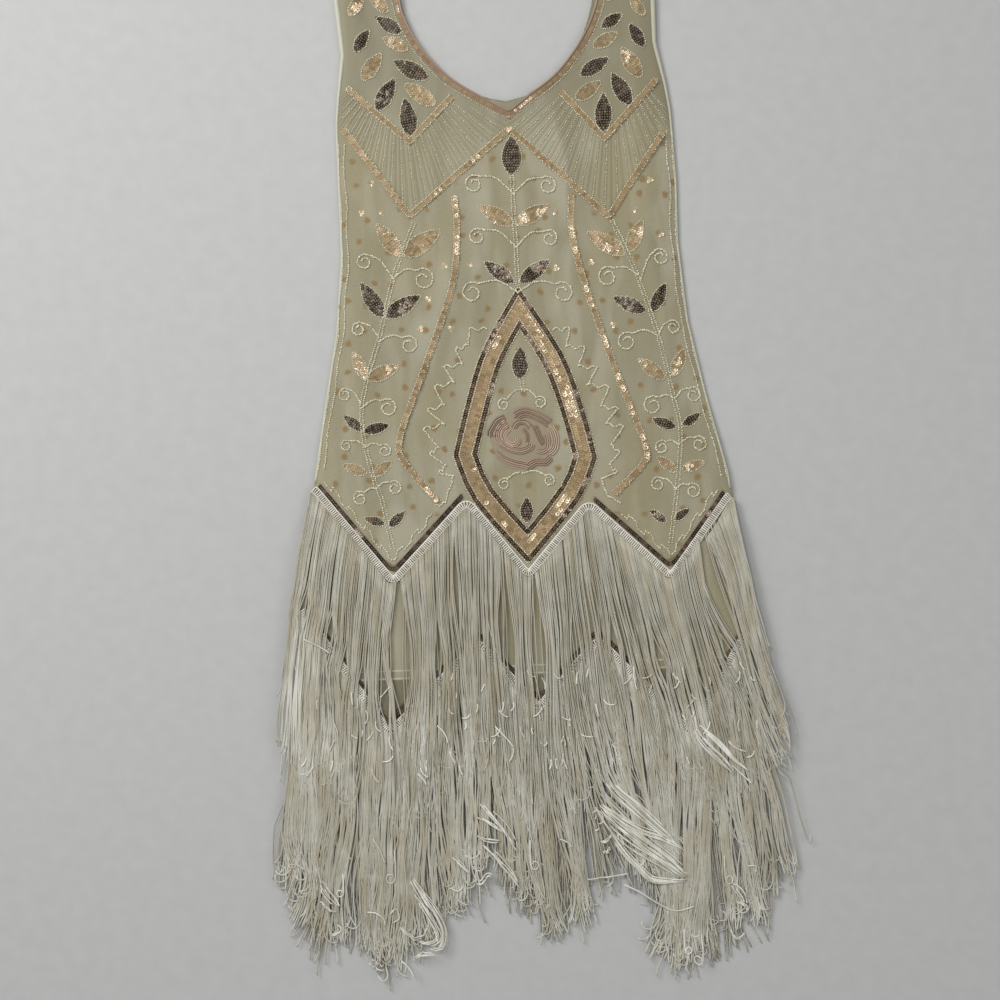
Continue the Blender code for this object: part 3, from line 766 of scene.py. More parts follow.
def scatter(name, pattern, places, ups, headings, sizes, tone, material, smooth):
    """Joins copies of a pattern, each with its own place, way up, heading and size."""
    points, faces = pattern
    ups = ups / np.linalg.norm(ups, axis=1, keepdims=True)
    ahead = np.stack([np.cos(headings), np.sin(headings), np.zeros(len(headings))], axis=1)
    ahead -= ups * np.sum(ahead * ups, axis=1, keepdims=True)
    ahead /= np.linalg.norm(ahead, axis=1, keepdims=True)
    aside = np.cross(ups, ahead)
    axes = np.stack([ahead, aside, ups], axis=1)
    copies = places[:, None, :] + sizes[:, None, None] * np.einsum("pk,nkj->npj", points, axes)
    numbers = faces[None] + (np.arange(len(places)) * len(points))[:, None, None]
    tones = np.repeat(tone, len(points))
    return piece_from_arrays(
        name, copies.reshape(-1, 3), numbers.reshape(-1, 3), tones, material, smooth
    )


# %% [markdown]
# ## Sewing rows of sequins and lines of beads
#
# Rows of sequins and lines of beads are collected first, by kind, and one mesh is made for each kind
# at the end.

# %% Collecting sequins and beads
sewn_sequins = {}
sewn_beads = {}


def sew_sequins(kind, places, headings, size=1.0):
    sewn_sequins.setdefault(kind, []).append((places, headings, np.full(len(places), size)))


def sew_row(kind, path, pitch, size=1.0):
    places, headings = walk(path, pitch)
    sew_sequins(kind, places, headings, size)


def sew_beads(kind, path, pitch=2.3 * MM, size=1.0):
    places, _ = walk(path, pitch)
    wobble = chance.normal(0.0, 0.26 * MM, places.shape)
    sewn_beads.setdefault(kind, []).append((places + wobble, np.full(len(places), size)))


# %% [markdown]
# ## The bands
#
# The V neck, the yoke and its two points, and the two long bands down the body are rows of peach
# sequins on their satin tape, with a line of beads along each edge.

# %% Bands of peach sequins
YOKE_POINTS = [
    mm([(-168, 413), (-103, 352), (-54, 400)]),
    mm([(66, 399), (111, 347), (170, 408)]),
]
PRINCESS = [
    curve(mm([(-56, 289), (-55, 249), (-63, 191), (-93, 113), (-125, 35), (-128, 10)])),
    curve(mm([(72, 285), (71, 244), (85, 179), (115, 85), (139, 16), (143, -4)])),
]
PRINCESS_FEET = [mm([(-128, 10), (-116, -9), (-88, -44)]), mm([(143, -4), (132, -18), (106, -42)])]
SEQUIN_PITCH = 3.4 * MM
BAND_EDGE = 3.0 * MM


def sequin_band(path, size=1.0):
    sew_row("bands", path, SEQUIN_PITCH, size)
    for offset in (-BAND_EDGE, BAND_EDGE):
        sew_beads("band_edges", beside(walk(path, 4 * MM)[0], offset), 2.2 * MM, 0.92)


sequin_band(YOKE_BAND, 0.9)
for path in YOKE_POINTS:
    sequin_band(path, 0.85)
for path, foot in zip(PRINCESS, PRINCESS_FEET):
    sequin_band(path)
    sequin_band(foot)

# %% The neckline
NECK_ROW_OFFSET = 4.4 * MM
NECK_BEAD_OFFSET = 8.6 * MM
BINDING_END_Y = 0.580

left_arm = curve(NECKLINE[:, [1, 0]])
right_arm = curve(NECKLINE[:, [2, 0]])[::-1]
neck_edge = np.concatenate([left_arm[:-1], right_arm])
neck_edge = neck_edge[neck_edge[:, 1] < BINDING_END_Y]
neck_edge, _ = walk(neck_edge, 4 * MM)
sew_row("neckline", beside(neck_edge, -NECK_ROW_OFFSET), 3.0 * MM, 0.72)
sew_beads("band_edges", beside(neck_edge, -NECK_BEAD_OFFSET), 2.3 * MM, 0.8)
print("band sequins:", sum(len(p[0]) for rows in sewn_sequins.values() for p in rows))

# %% [markdown]
# ## The frame of the lozenge
#
# The centre piece is a tall lozenge with curved sides: a row of dark sequins outside and another
# inside, and between them two rows of peach sequins set so closely that they look like ribbon. A line
# of beads runs along both sides of each dark row.

# %% The lozenge frame
LOZENGE_SIDES = [
    mm([(9.5, 184), (-29, 122), (-47, 74), (-66.5, 7)]),
    mm([(-66.5, 7), (-47, -43), (8, -111)]),
    mm([(8, -111), (65, -45), (85, -2)]),
    mm([(85, -2), (72, 55), (52, 114), (9.5, 184)]),
]
DARK_PITCH = 2.8 * MM
INNER_ROW = 20 * MM


def closed(path):
    return np.concatenate([path, path[:1]])


def inside_line(path, offset):
    """A closed path moved inwards. Where its sides would cross, the crossing ends are cut off."""
    into = path - np.roll(path, 1, axis=0)
    out = np.roll(path, -1, axis=0) - path
    into /= np.linalg.norm(into, axis=1, keepdims=True)
    along = into + out / np.linalg.norm(out, axis=1, keepdims=True)
    along /= np.linalg.norm(along, axis=1, keepdims=True)
    reach = np.maximum(0.45, np.sum(along * into, axis=1, keepdims=True))
    moved = path + offset * np.stack([-along[:, 1], along[:, 0]], axis=1) / reach
    away = np.linalg.norm(moved[:, None] - path[None], axis=2).min(axis=1)
    return closed(moved[away >= 0.97 * abs(offset)])


lozenge = np.concatenate([curve(side, 3)[:-1] for side in LOZENGE_SIDES])
lozenge = walk(closed(lozenge), 2 * MM)[0][:-1]
for inwards in (0.0, INNER_ROW):
    sew_row("dark_rows", inside_line(lozenge, inwards), DARK_PITCH, 0.95)
for inwards in (7.4 * MM, 12.6 * MM):
    sew_row("ribbon", inside_line(lozenge, inwards), 2.9 * MM, 1.08)
for inwards in (-3.0 * MM, 3.4 * MM, 16.8 * MM, 22.8 * MM):
    sew_beads("band_edges", inside_line(lozenge, inwards), 2.3 * MM, 0.95)

# %% [markdown]
# ## The dark zigzag rows
#
# Each fringe seam has a row of dark sequins just above the braid. The lozenge's own dark row takes
# its place in the middle of the upper seam.

# %% Zigzag rows
ABOVE_SEAM = 12 * MM


def zigzag_row(corners, first, last):
    x = np.linspace(first, last, 120)
    path = np.stack([x, seam_height(x, corners) + ABOVE_SEAM], axis=1)
    sew_row("dark_rows", path, DARK_PITCH, 0.95)


zigzag_row(UPPER_ZIGZAG, -0.216, -0.063)
zigzag_row(UPPER_ZIGZAG, 0.084, 0.223)
zigzag_row(LOWER_ZIGZAG, -0.236, 0.234)

# %% [markdown]
# ## Leaves
#
# A leaf is a pointed oval from its root to its tip. It is filled with overlapping sequins in rows
# that follow the leaf, and outlined with beads. Two vines climb the sides with leaves in pairs,
# a spray of leaves covers each shoulder, and a few more stand on the centre line.

# %% Leaf shape
LEAF_ROW_GAP = 2.9 * MM
LEAF_SEQUIN_GAP = 2.8 * MM
LEAF_SEQUIN_SIZE = 0.8


def sew_leaf(kind, root, tip, plump=0.36):
    """A leaf filled with sequins; plump is its width as a share of its length."""
    root, tip = mm(root), mm(tip)
    length = np.linalg.norm(tip - root)
    ahead = (tip - root) / length
    aside = np.array([-ahead[1], ahead[0]])
    heading = math.atan2(ahead[1], ahead[0])
    share = np.linspace(0.0, 1.0, 25)
    half = 0.5 * plump * length * np.sin(np.pi * share**0.85) ** 0.85
    places = []
    for along in np.arange(2.0 * MM, length - 0.6 * MM, LEAF_ROW_GAP):
        room = max(0.0, np.interp(along / length, share, half) - 1.2 * MM)
        count = 1 + round(2 * room / LEAF_SEQUIN_GAP)
        for offset in np.linspace(-room, room, count) if count > 1 else [0.0]:
            places.append(root + ahead * along + aside * offset)
    places = np.array(places) + chance.normal(0.0, 0.15 * MM, (len(places), 2))
    sew_sequins(kind, places, np.full(len(places), heading), LEAF_SEQUIN_SIZE)
    left = root + np.outer(share * length, ahead) + np.outer(half + 1.0 * MM, aside)
    right = root + np.outer(share * length, ahead) - np.outer(half + 1.0 * MM, aside)
    sew_beads("outlines", np.concatenate([left, right[::-1]]), 2.1 * MM, 0.85)


# %% Leaves on the vines, shoulders and centre
PEACH_VINE = [
    ((-117, 227), (-142, 263)), ((-116, 227), (-73, 254)), ((-161, 94), (-174, 124)),
    ((-160, 94), (-125, 107)), ((-166, -9), (-190, 1)), ((-158, -12), (-137, 3)),
    ((127, 219), (88, 245)), ((132, 222), (148, 255)), ((165, 81), (138, 103)),
    ((174, 84), (189, 112)), ((173, -21), (154, -5)), ((181, -19), (205, -12)),
]
DARK_VINE = [
    ((-139, 161), (-162, 199)), ((-138, 161), (-98, 183)), ((-167, 38), (-187, 55)),
    ((-166, 37), (-138, 43)), ((-148, -65), (-169, -58)), ((-143, -68), (-125, -53)),
    ((147, 155), (113, 172)), ((155, 155), (171, 185)), ((175, 27), (150, 37)),
    ((183, 29), (203, 41)), ((160, -76), (144, -63)), ((169, -74), (186, -63)),
]
DARK_SPRAYS = [
    ((-107, 472), (-133, 490)), ((-158, 453), (-142, 476)), ((-80, 421), (-116, 441)),
    ((-137, 388), (-116, 422)), ((-100, 358), (-106, 400)), ((113, 468), (136, 483)),
    ((158, 445), (144, 471)), ((88, 417), (119, 435)), ((141, 382), (122, 418)), ((110, 354), (112, 396)),
]
PEACH_SPRAYS = [
    ((-100, 454), (-127, 467)), ((-151, 422), (-130, 450)), ((-73, 392), (-105, 415)),
    ((-162, 492), (-147, 514)), ((-121, 495), (-139, 517)), ((119, 498), (135, 517)),
    ((160, 480), (146, 500)), ((103, 448), (130, 461)), ((153, 412), (134, 445)), ((82, 391), (109, 409)),
    ((-160, 530), (-142, 556)), ((136, 530), (154, 556)),
]
CENTRE_LEAVES = [
    ("leaves_dark", (8, 311), (9, 354), 0.46), ("leaves_peach", (7, 257), (-30, 278), 0.36),
    ("leaves_peach", (10, 257), (46, 276), 0.36), ("leaves_dark", (5, 193), (-26, 217), 0.36),
    ("leaves_dark", (12, 193), (45, 216), 0.36), ("leaves_dark", (7, 87), (9, 122), 0.46),
    ("leaves_dark", (8, -70), (9, -43), 0.46),
]
for root, tip in PEACH_VINE:
    sew_leaf("leaves_peach", root, tip)
for root, tip in DARK_VINE:
    sew_leaf("leaves_dark", root, tip)
for root, tip in DARK_SPRAYS:
    sew_leaf("leaves_dark", root, tip, 0.4)
for root, tip in PEACH_SPRAYS:
    sew_leaf("leaves_peach", root, tip, 0.4)
for kind, root, tip, plump in CENTRE_LEAVES:
    sew_leaf(kind, root, tip, plump)
print("leaf sequins:", sum(len(p[0]) for k in ("leaves_dark", "leaves_peach") for p in sewn_sequins[k]))

# %% [markdown]
# ## Stems and curls
#
# Each vine has a stem of two bead lines side by side. Between the leaves, a curl leaves the stem on
# each side: it rises, passes over, and winds inwards by a turn and a quarter, like a fern.

# %% Stems
STEMS = [
    curve(mm([(-102, 262), (-117, 227), (-127, 203), (-139, 160), (-146, 135), (-159, 98), (-167, 64),
              (-167, 38), (-163, 10), (-156, -20), (-150, -36), (-140, -92)])),
    curve(mm([(115, 257), (130, 222), (140, 196), (152, 157), (161, 126), (168, 93), (175, 56),
              (180, 29), (178, -6), (172, -50), (164, -98)])),
    curve(mm([(8, 310), (8, 270), (9, 232), (9, 190)])),
    curve(mm([(9, 87), (10, 74)])),
]
for stem in STEMS:
    for offset in (-1.7 * MM, 1.7 * MM):
        sew_beads("stems", beside(walk(stem, 5 * MM)[0], offset), 2.4 * MM, 1.0)

# %% Curls
CURLS = [
    ((-125, 205), (-94, 201), 12.1), ((-127, 203), (-157, 222), 8.8), ((-146, 134), (-113, 130), 9.9),
    ((-145, 139), (-167, 149), 7.7), ((-167, 63), (-139, 62), 9.9), ((-168, 67), (-185, 78), 7.2),
    ((-165, 20), (-144, 15), 7.2), ((-165, 21), (-186, 22), 6.1), ((-155, -26), (-135, -26), 7.7),
    ((-155, -26), (-173, -36), 8.0), ((140, 196), (108, 195), 11.0), ((144, 191), (166, 214), 9.0),
    ((160, 128), (126, 123), 10.5), ((161, 130), (177, 137), 7.6), ((175, 59), (151, 52), 10.5),
    ((176, 59), (196, 62), 8.6), ((178, 8), (159, 6), 7.7), ((178, 8), (200, 8), 8.4),
    ((172, -40), (153, -34), 7.7), ((172, -40), (191, -43), 8.4), ((9, 290), (46, 298), 10.0),
    ((9, 290), (-34, 303), 10.0), ((9, 232), (46, 240), 9.0), ((9, 232), (-33, 245), 9.0),
    ((9, 182), (58, 180), 11.5), ((9, 182), (-41, 184), 11.5), ((8, 76), (28, 61), 6.6),
    ((8, 76), (-12, 60), 6.6), ((8, -16), (34, -25), 6.6), ((8, -16), (-15, -27), 6.6),
]
TURNS = 1.25


def curl(root, centre, radius):
    """A line from the stem over the top of a circle, winding inwards."""
    root, centre, radius = mm(root), mm(centre), radius * MM
    outward = 1.0 if centre[0] > root[0] else -1.0
    turn = np.linspace(0.0, TURNS, 30)
    angle = math.pi / 2 + outward * (math.radians(35) - 2 * math.pi * turn)
    shrink = radius * (1.0 - 0.62 * (turn / TURNS) ** 1.3)
    spiral = centre + np.stack([shrink * np.cos(angle), shrink * np.sin(angle)], axis=1)
    middle = (root + spiral[0]) / 2 + [0.0, 0.18 * np.linalg.norm(spiral[0] - root)]
    return np.concatenate([curve([root, middle, spiral[0]], 6)[:-1], spiral])


for root, centre, radius in CURLS:
    path = curl(root, centre, radius)
    sew_beads("curls", path, 1.8 * MM, 1.15)

# %% [markdown]
# ## The fans of the yoke
#
# Between the yoke points and the yoke band the net is sewn with rays of small beads that open like a
# fan from each shoulder.

# %% Fan rays
FAN_REACH = 0.22
RAYS = 25
RAY_CLEARANCE = 4.5 * MM
for side in (-1, 1):
    centre = np.array([FAN_MIDDLE_X + side * FAN_CENTRE[0], FAN_CENTRE[1]])
    for angle in np.radians(np.linspace(-28, -143, RAYS)):
        reach = np.linspace(0.0, FAN_REACH, 220)
        ray = centre + np.outer(reach, [-side * math.cos(angle), math.sin(angle)])
        inside = ray[:, 1] < height_of(FAN_TOP, ray[:, 0]) - RAY_CLEARANCE
        inside &= ray[:, 1] > height_of(YOKE_BAND, ray[:, 0]) + RAY_CLEARANCE
        inside &= side * (ray[:, 0] - CENTRE_X) > 4 * MM
        inside &= ray[:, 0] > side_x(ray[:, 1], -1) + 8 * MM
        inside &= ray[:, 0] < side_x(ray[:, 1], 1) - 8 * MM
        if inside.sum() > 12:
            sew_beads("fans", ray[inside], 2.3 * MM, 0.82)

# %% [markdown]
# ## Stepped lines, side lines and scallops
#
# A stepped line of beads wanders down each side of the lozenge: a short wavy step, then a diagonal
# back. Plain lines follow the side seams, and a gentle stepped line follows the zigzag seam.

# %% Stepped lines
STEPS_LEFT = mm([
    (-27, 144), (-46, 144), (-48, 127), (-62, 122), (-55, 106), (-76, 104), (-65, 87), (-87, 82),
    (-77, 62), (-96, 57), (-77, 41), (-101, 37), (-85, 16), (-95, 9), (-78, -4), (-86, -12), (-70, -16),
    (-78, -36), (-80, -45), (-92, -48),
])
STEPS_RIGHT = mm([
    (46, 140), (64, 140), (59, 121), (80, 118), (71, 98), (92, 96), (81, 78), (104, 74), (94, 53),
    (113, 50), (98, 34), (118, 30), (103, 11), (113, 2), (100, -11), (109, -19), (91, -26), (97, -44),
    (112, -53),
])
WAVE_HEIGHT = 1.9 * MM
for steps in (STEPS_LEFT, STEPS_RIGHT):
    path = []
    for i, (start, end) in enumerate(zip(steps, steps[1:])):
        share = np.linspace(0.0, 1.0, 12, endpoint=False)
        leg = start + np.outer(share, end - start)
        if i % 2 == 0:
            leg[:, 1] += WAVE_HEIGHT * np.sin(2 * math.pi * 1.5 * share)
        path.append(leg)
    sew_beads("stepped_lines", np.concatenate(path), 1.8 * MM, 1.12)

# %% Lines along the side seams and the zigzag
for side in (-1, 1):
    seam_end = UPPER_ZIGZAG[0 if side < 0 else -1][1] + 20 * MM
    heights = np.linspace(0.352, seam_end, 60)
    for inset in (1.6 * MM, 8.0 * MM):
        wander = 0.9 * MM * np.sin(heights * 90 + inset * 900)
        path = np.stack([side_x(heights, side) - side * inset + wander, heights], axis=1)
        sew_beads("side_lines", path, 2.2 * MM, 1.05)
for first, last in ((-0.212, -0.096), (0.112, 0.218)):
    x = np.linspace(first, last, 90)
    stair = 3.0 * MM * np.sign(np.sin(2 * math.pi * x / (17 * MM)))
    path = np.stack([x, seam_height(x, UPPER_ZIGZAG) + 25 * MM + stair], axis=1)
    sew_beads("side_lines", path, 1.9 * MM, 1.05)

# %% [markdown]
# ## Groups of three sequins
#
# Small groups of three sequins are strewn over the body wherever nothing else is sewn. Candidate
# places come from a loose grid, and those too close to other decoration are dropped.

# %% Groups of three
GROUP_SPACING = 31 * MM
GROUP_CLEARANCE = 9 * MM
taken = np.concatenate([p[0] for rows in sewn_beads.values() for p in rows])
grid_x, grid_y = np.meshgrid(np.arange(-0.21, 0.22, GROUP_SPACING), np.arange(-0.10, 0.33, GROUP_SPACING))
grid = np.stack([grid_x.ravel(), grid_y.ravel()], axis=1)
grid[:, 0] += np.where(np.round(grid[:, 1] / GROUP_SPACING) % 2 > 0, GROUP_SPACING / 2, 0.0)
grid += chance.uniform(-6 * MM, 6 * MM, grid.shape)
groups = 0
for place in grid:
    free = np.linalg.norm(taken - place, axis=1).min() > GROUP_CLEARANCE
    below_yoke = place[1] < height_of(YOKE_BAND, place[0]) - 12 * MM
    above_seam = place[1] > seam_height(place[0], UPPER_ZIGZAG) + 24 * MM
    in_frame = abs(place[0] - CENTRE_X) < 60 * MM and place[1] < 150 * MM
    between = side_x(place[1], -1) + 14 * MM < place[0] < side_x(place[1], 1) - 14 * MM
    if free and below_yoke and above_seam and between and not in_frame:
        angles = chance.uniform(0, 2.1) + np.arange(3) * 2 * math.pi / 3
        three = place + 2.1 * MM * np.stack([np.cos(angles), np.sin(angles)], axis=1)
        sew_sequins("groups", three, angles, 0.72)
        groups += 1
print("groups of three:", groups)

# %% [markdown]
# ## From collected rows to meshes
#
# Now every sequin is laid on the cloth or on its band. Sequins in a row overlap like scales, so each
# is tipped a few degrees along the row. Their thread pulls neighbours the same way, so the tip changes
# slowly along a row, and most of a row is calm. Here and there a short run faces the small lamp: the
# table lists those places, and a sequin there flashes as a white ring with a dark hole. Sequins that
# face the lamp are also toned lighter, a painted highlight added to the flash.

# %% Where sequins flash
FLASHES = mm([
    (-71, 292, 7), (-55, 288, 8), (-55, 273, 7), (-55, 239, 7), (-55, 228, 7), (-13, 151, 7),
    (-19, 139, 8), (-26, 125, 8), (-23, 83, 4), (-26, 74, 4), (-45, -11, 4), (-37, -43, 4),
    (-20, -88, 4), (-15, -72, 4), (-12, 208, 6), (1, 202, 6), (-117, 171, 8), (-122, 230, 4),
    (-137, 103, 4), (-179, -76, 6), (-155, -101, 6), (-95, -30, 7), (-85, -41, 7), (70, 247, 7),
    (71, 225, 4), (83, 182, 4), (86, 168, 6), (99, 124, 7), (115, 85, 6), (118, 77, 7), (130, 47, 7),
    (140, 15, 7), (142, 2, 8), (17, 264, 7), (38, 269, 7), (31, 210, 7), (40, 211, 6), (20, 169, 6),
    (19, 129, 7), (32, 100, 6), (45, 90, 8), (59, 67, 10), (65, 52, 9), (73, 53, 4), (81, 19, 6),
    (63, 0, 4), (75, -31, 7), (53, -44, 7), (47, -57, 9), (35, -92, 6), (14, -86, 4), (28, 117, 8),
    (39, 101, 8), (108, 226, 6), (146, 243, 4), (127, 166, 9), (178, 97, 7), (178, 88, 6),
    (116, -89, 7), (207, -64, 6), (190, -17, 7), (152, -65, 6), (-32, 332, 6), (26, 390, 9),
    (17, 383, 8), (6, 366, 6), (90, 358, 6), (174, 327, 4), (-131, 403, 8), (138, 436, 7),
    (-154, 499, 7), (-103, 440, 4),
])
FLASH_SHARE = 0.62


def unit(vectors):
    return vectors / np.linalg.norm(vectors, axis=1, keepdims=True)


def flashing(places, share):
    """Which sequins lie in a flashing run."""
    away = np.linalg.norm(places[:, None, :] - FLASHES[None, :, :2], axis=2)
    return (away < FLASHES[None, :, 2]).any(axis=1) & (chance.random(len(places)) < share)


def facing_the_lamp(spots):
    """The way up that reflects the small lamp into the camera."""
    return unit(unit(np.array(camera.location) - spots) + unit(np.array(SPARKLE_LAMP) - spots))


# %% Make the sequins
SCALE_TIP = math.radians(6)
RUN_TIP = math.radians(2.6)
OWN_TIP = math.radians(1.2)
RUN_LENGTH = 6
SEQUIN_KINDS = {
    # the film, the slot and the tone from 0 for the darkest to 1
    "bands": (peach_film, "peach_sequin", 0.4),
    "neckline": (peach_film, "peach_sequin", 0.15),
    "ribbon": (peach_film, "peach_sequin", 0.34),
    "leaves_peach": (peach_film, "peach_sequin", 0.3),
    "groups": (peach_film, "peach_sequin", 0.6),
    "leaves_dark": (bronze_film, "bronze_sequin", 0.12),
    "dark_rows": (bronze_film, "bronze_sequin", 0.14),
}
TONE_SPREAD = 0.2
FLASH_PAINTED_HIGHLIGHT = 0.5
for kind, (material, slot, kind_tone) in SEQUIN_KINDS.items():
    rows = sewn_sequins[kind]
    places = np.concatenate([row[0] for row in rows])
    headings = np.concatenate([row[1] for row in rows])
    sizes = np.concatenate([row[2] for row in rows])
    spots, ups = on_surface(places, trimmed_tree)
    lean = np.stack([np.cos(headings), np.sin(headings)], axis=1) * SCALE_TIP
    for k in (0, 1):
        drift = chance.normal(0.0, RUN_TIP, len(places) + RUN_LENGTH - 1)
        lean[:, k] += np.convolve(drift, np.ones(RUN_LENGTH) / RUN_LENGTH**0.5, mode="valid")
    ups[:, :2] += lean
    bright = chance.random(len(places)) < 0.6 if kind == "groups" else flashing(places, FLASH_SHARE)
    ups[bright] = facing_the_lamp(spots[bright])
    ups[:, :2] += chance.normal(0.0, OWN_TIP, lean.shape)
    tip = np.linalg.norm(ups[:, :2], axis=1)
    spots[:, 2] += sizes * (CUP_DEPTH + SEQUIN_RADIUS * np.minimum(tip, 0.35)) * 0.8
    # Sequins facing the lamp are toned lighter as well: a painted highlight.
    tone = chance.normal(kind_tone, TONE_SPREAD, len(places)) + FLASH_PAINTED_HIGHLIGHT * bright
    tone = np.clip(tone, 0.0, 1.0)
    scatter("sequins_" + kind, SEQUIN, spots, ups, headings, sizes, tone, material, False)

# %% Make the beads
for kind, lines in sewn_beads.items():
    places = np.concatenate([line[0] for line in lines])
    sizes = np.concatenate([line[1] for line in lines]) * chance.uniform(0.85, 1.15, len(places))
    spots, ups = on_surface(places, trimmed_tree)
    spots[:, 2] += sizes * BEAD_RADIUS * 0.6
    turns = chance.uniform(0, 2 * math.pi, len(places))
    tone = chance.uniform(0.35, 1.0, len(places))
    scatter("beads_" + kind, BEAD, spots, ups, turns, sizes, tone, seed_glass, True)

# %% [markdown]
# ## A strand of thread
#
# The fringe, the braid and the rose are all thread. A strand is modelled once: a small triangle is
# extruded step by step into a closed straight rod, with a ring of points at each station. A copy is
# then bent along its own path by moving each ring to that path, square to its direction. Three or four
# sides are enough, because a thread is about one pixel wide here and there are thousands.

# %% The strand pattern


def strand_pattern(stations, sides=3):
    """A closed rod along +Z with a ring of points at each whole height from 0."""
    bpy.ops.object.select_all(action="DESELECT")
    bpy.ops.mesh.primitive_circle_add(vertices=sides, radius=1.0, fill_type="NGON")
    rod = bpy.context.object
    bpy.ops.object.mode_set(mode="EDIT")
    bpy.ops.mesh.select_all(action="SELECT")
    for _ in range(stations - 1):
        bpy.ops.mesh.extrude_region_move(TRANSFORM_OT_translate={"value": (0.0, 0.0, 1.0)})
    bpy.ops.mesh.select_all(action="SELECT")
    bpy.ops.mesh.normals_make_consistent(inside=False)
    bpy.ops.object.mode_set(mode="OBJECT")
    return read_pattern(rod)


def strands(name, paths, radii, tone, material, sides=3, flatten=1.0):
    """Copies of the strand bent along paths, given as an array of copies, stations and places."""
    count, stations, _ = paths.shape
    points, faces = strand_pattern(stations, sides)
    station = np.round(points[:, 2]).astype(int)
    ahead = np.gradient(paths, axis=1)
    ahead /= np.maximum(np.linalg.norm(ahead, axis=2, keepdims=True), 1e-9)
    aside = np.cross(ahead, [0.0, 0.0, 1.0])
    aside /= np.maximum(np.linalg.norm(aside, axis=2, keepdims=True), 1e-9)
    upward = np.cross(aside, ahead)
    radii = np.broadcast_to(radii, (count, stations))
    across = points[None, :, 0:1] * aside[:, station] + flatten * points[None, :, 1:2] * upward[:, station]
    copies = paths[:, station] + radii[:, station, None] * across
    numbers = faces[None] + (np.arange(count) * len(points))[:, None, None]
    tones = np.broadcast_to(tone.reshape(count, -1), (count, stations))[:, station].ravel()
    return piece_from_arrays(name, copies.reshape(-1, 3), numbers.reshape(-1, 3), tones, material)


# %% [markdown]
# ## The rose
#
# The rose inside the lozenge is sewn in chain stitch with pinkish silk. Its petals are rows of stitches
# that wind round each other, a few rows to a petal, with the padding showing between petals. The rows
# lie on a thin padded base that stands for the CAD rose.

# %% The rose's base
ROSE_CENTRE = mm([8, 22])
ROSE_RADII = mm([38, 36])
ROSE_PAD = 0.5 * MM
LOBES = 5
FIRST_LOBE = math.radians(20)


def rose_edge(angle):
    """The base's edge: soft lobes, as a share of the radius."""
    return 0.95 + 0.03 * np.cos(LOBES * (angle - FIRST_LOBE))


bpy.ops.object.select_all(action="DESELECT")
bpy.ops.mesh.primitive_circle_add(vertices=60, radius=1.0, fill_type="NGON")
rose_base = bpy.context.object
rose_base.name = "rose_base"
bpy.ops.object.mode_set(mode="EDIT")
bpy.ops.mesh.select_all(action="SELECT")
for inset in (0.12, 0.2, 0.25):
    bpy.ops.mesh.inset(thickness=inset, depth=0.0)
bpy.ops.mesh.select_all(action="SELECT")
bpy.ops.mesh.extrude_region_move(TRANSFORM_OT_translate={"value": (0.0, 0.0, 1.0)})
bpy.ops.mesh.select_all(action="SELECT")
bpy.ops.mesh.normals_make_consistent(inside=False)
bpy.ops.object.mode_set(mode="OBJECT")
points = np.array([vert.co[:] for vert in rose_base.data.vertices])
angle = np.arctan2(points[:, 1], points[:, 0])
reach = (rose_edge(angle) * np.hypot(points[:, 0], points[:, 1]))[:, None]
flat = ROSE_CENTRE + ROSE_RADII * reach * np.stack([np.cos(angle), np.sin(angle)], axis=1)
spots, _ = on_surface(flat, cloth_tree)
spots[:, 2] += np.where(points[:, 2] > 0.5, ROSE_PAD, 0.05 * MM)
rose_base.data.vertices.foreach_set("co", spots.ravel())
rose_base.data.update()
rose_tone = rose_base.data.attributes.new("tone", "FLOAT", "POINT")
rose_tone.data.foreach_set("value", np.full(len(points), 0.5, np.float32))
finish_piece(rose_base, rose_padding)
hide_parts("rose")
print("rose base:", len(rose_base.data.polygons), "faces")

# %% The rose's silk arcs
SILK_RADIUS = 0.72 * MM
SILK_STATIONS = 24
ROW_GAP = 2.25 * MM
ROSE_STROKES = [
    # tone, rows, and the places of the outermost row in shares of the radii
    (0.20, 5, (-0.47, 0.72), (-0.72, 0.63), (-0.88, 0.42), (-0.98, 0.23), (-0.97, 0.05)),
    (0.70, 4, (-0.49, 0.58), (-0.70, 0.40), (-0.80, 0.12), (-0.72, -0.12), (-0.51, -0.30)),
    (0.50, 4, (-0.72, -0.12), (-0.51, -0.30), (-0.23, -0.42), (0.05, -0.42), (0.26, -0.28), (0.30, -0.09)),
    (0.80, 3, (-0.40, 0.37), (-0.58, 0.19), (-0.56, -0.02), (-0.42, -0.19), (-0.23, -0.23), (-0.09, -0.09),
     (-0.12, 0.09)),
    (0.32, 5, (0.86, 0.47), (0.63, 0.65), (0.37, 0.79), (0.12, 0.88), (-0.12, 0.84), (-0.30, 0.70)),
    (0.10, 3, (0.63, -0.21), (0.52, 0.00), (0.44, 0.21), (0.37, 0.42)),
    (0.12, 2, (0.13, -0.12), (0.13, 0.12), (0.02, 0.30)),
    (0.45, 3, (0.25, 0.33), (0.16, 0.49), (-0.02, 0.55), (-0.21, 0.50), (-0.32, 0.33)),
    (0.75, 4, (0.72, -0.56), (0.91, -0.38), (0.97, -0.09), (0.92, 0.19), (0.78, 0.40)),
    (0.45, 4, (-0.85, -0.40), (-0.58, -0.64), (-0.30, -0.78), (-0.07, -0.84), (0.12, -0.92)),
    (0.35, 4, (0.12, -0.92), (0.33, -0.78), (0.60, -0.79), (0.80, -0.62)),
    (0.55, 3, (0.33, -0.42), (0.53, -0.46), (0.70, -0.33), (0.73, -0.09), (0.68, 0.15)),
]
arcs = []
arc_tones = []
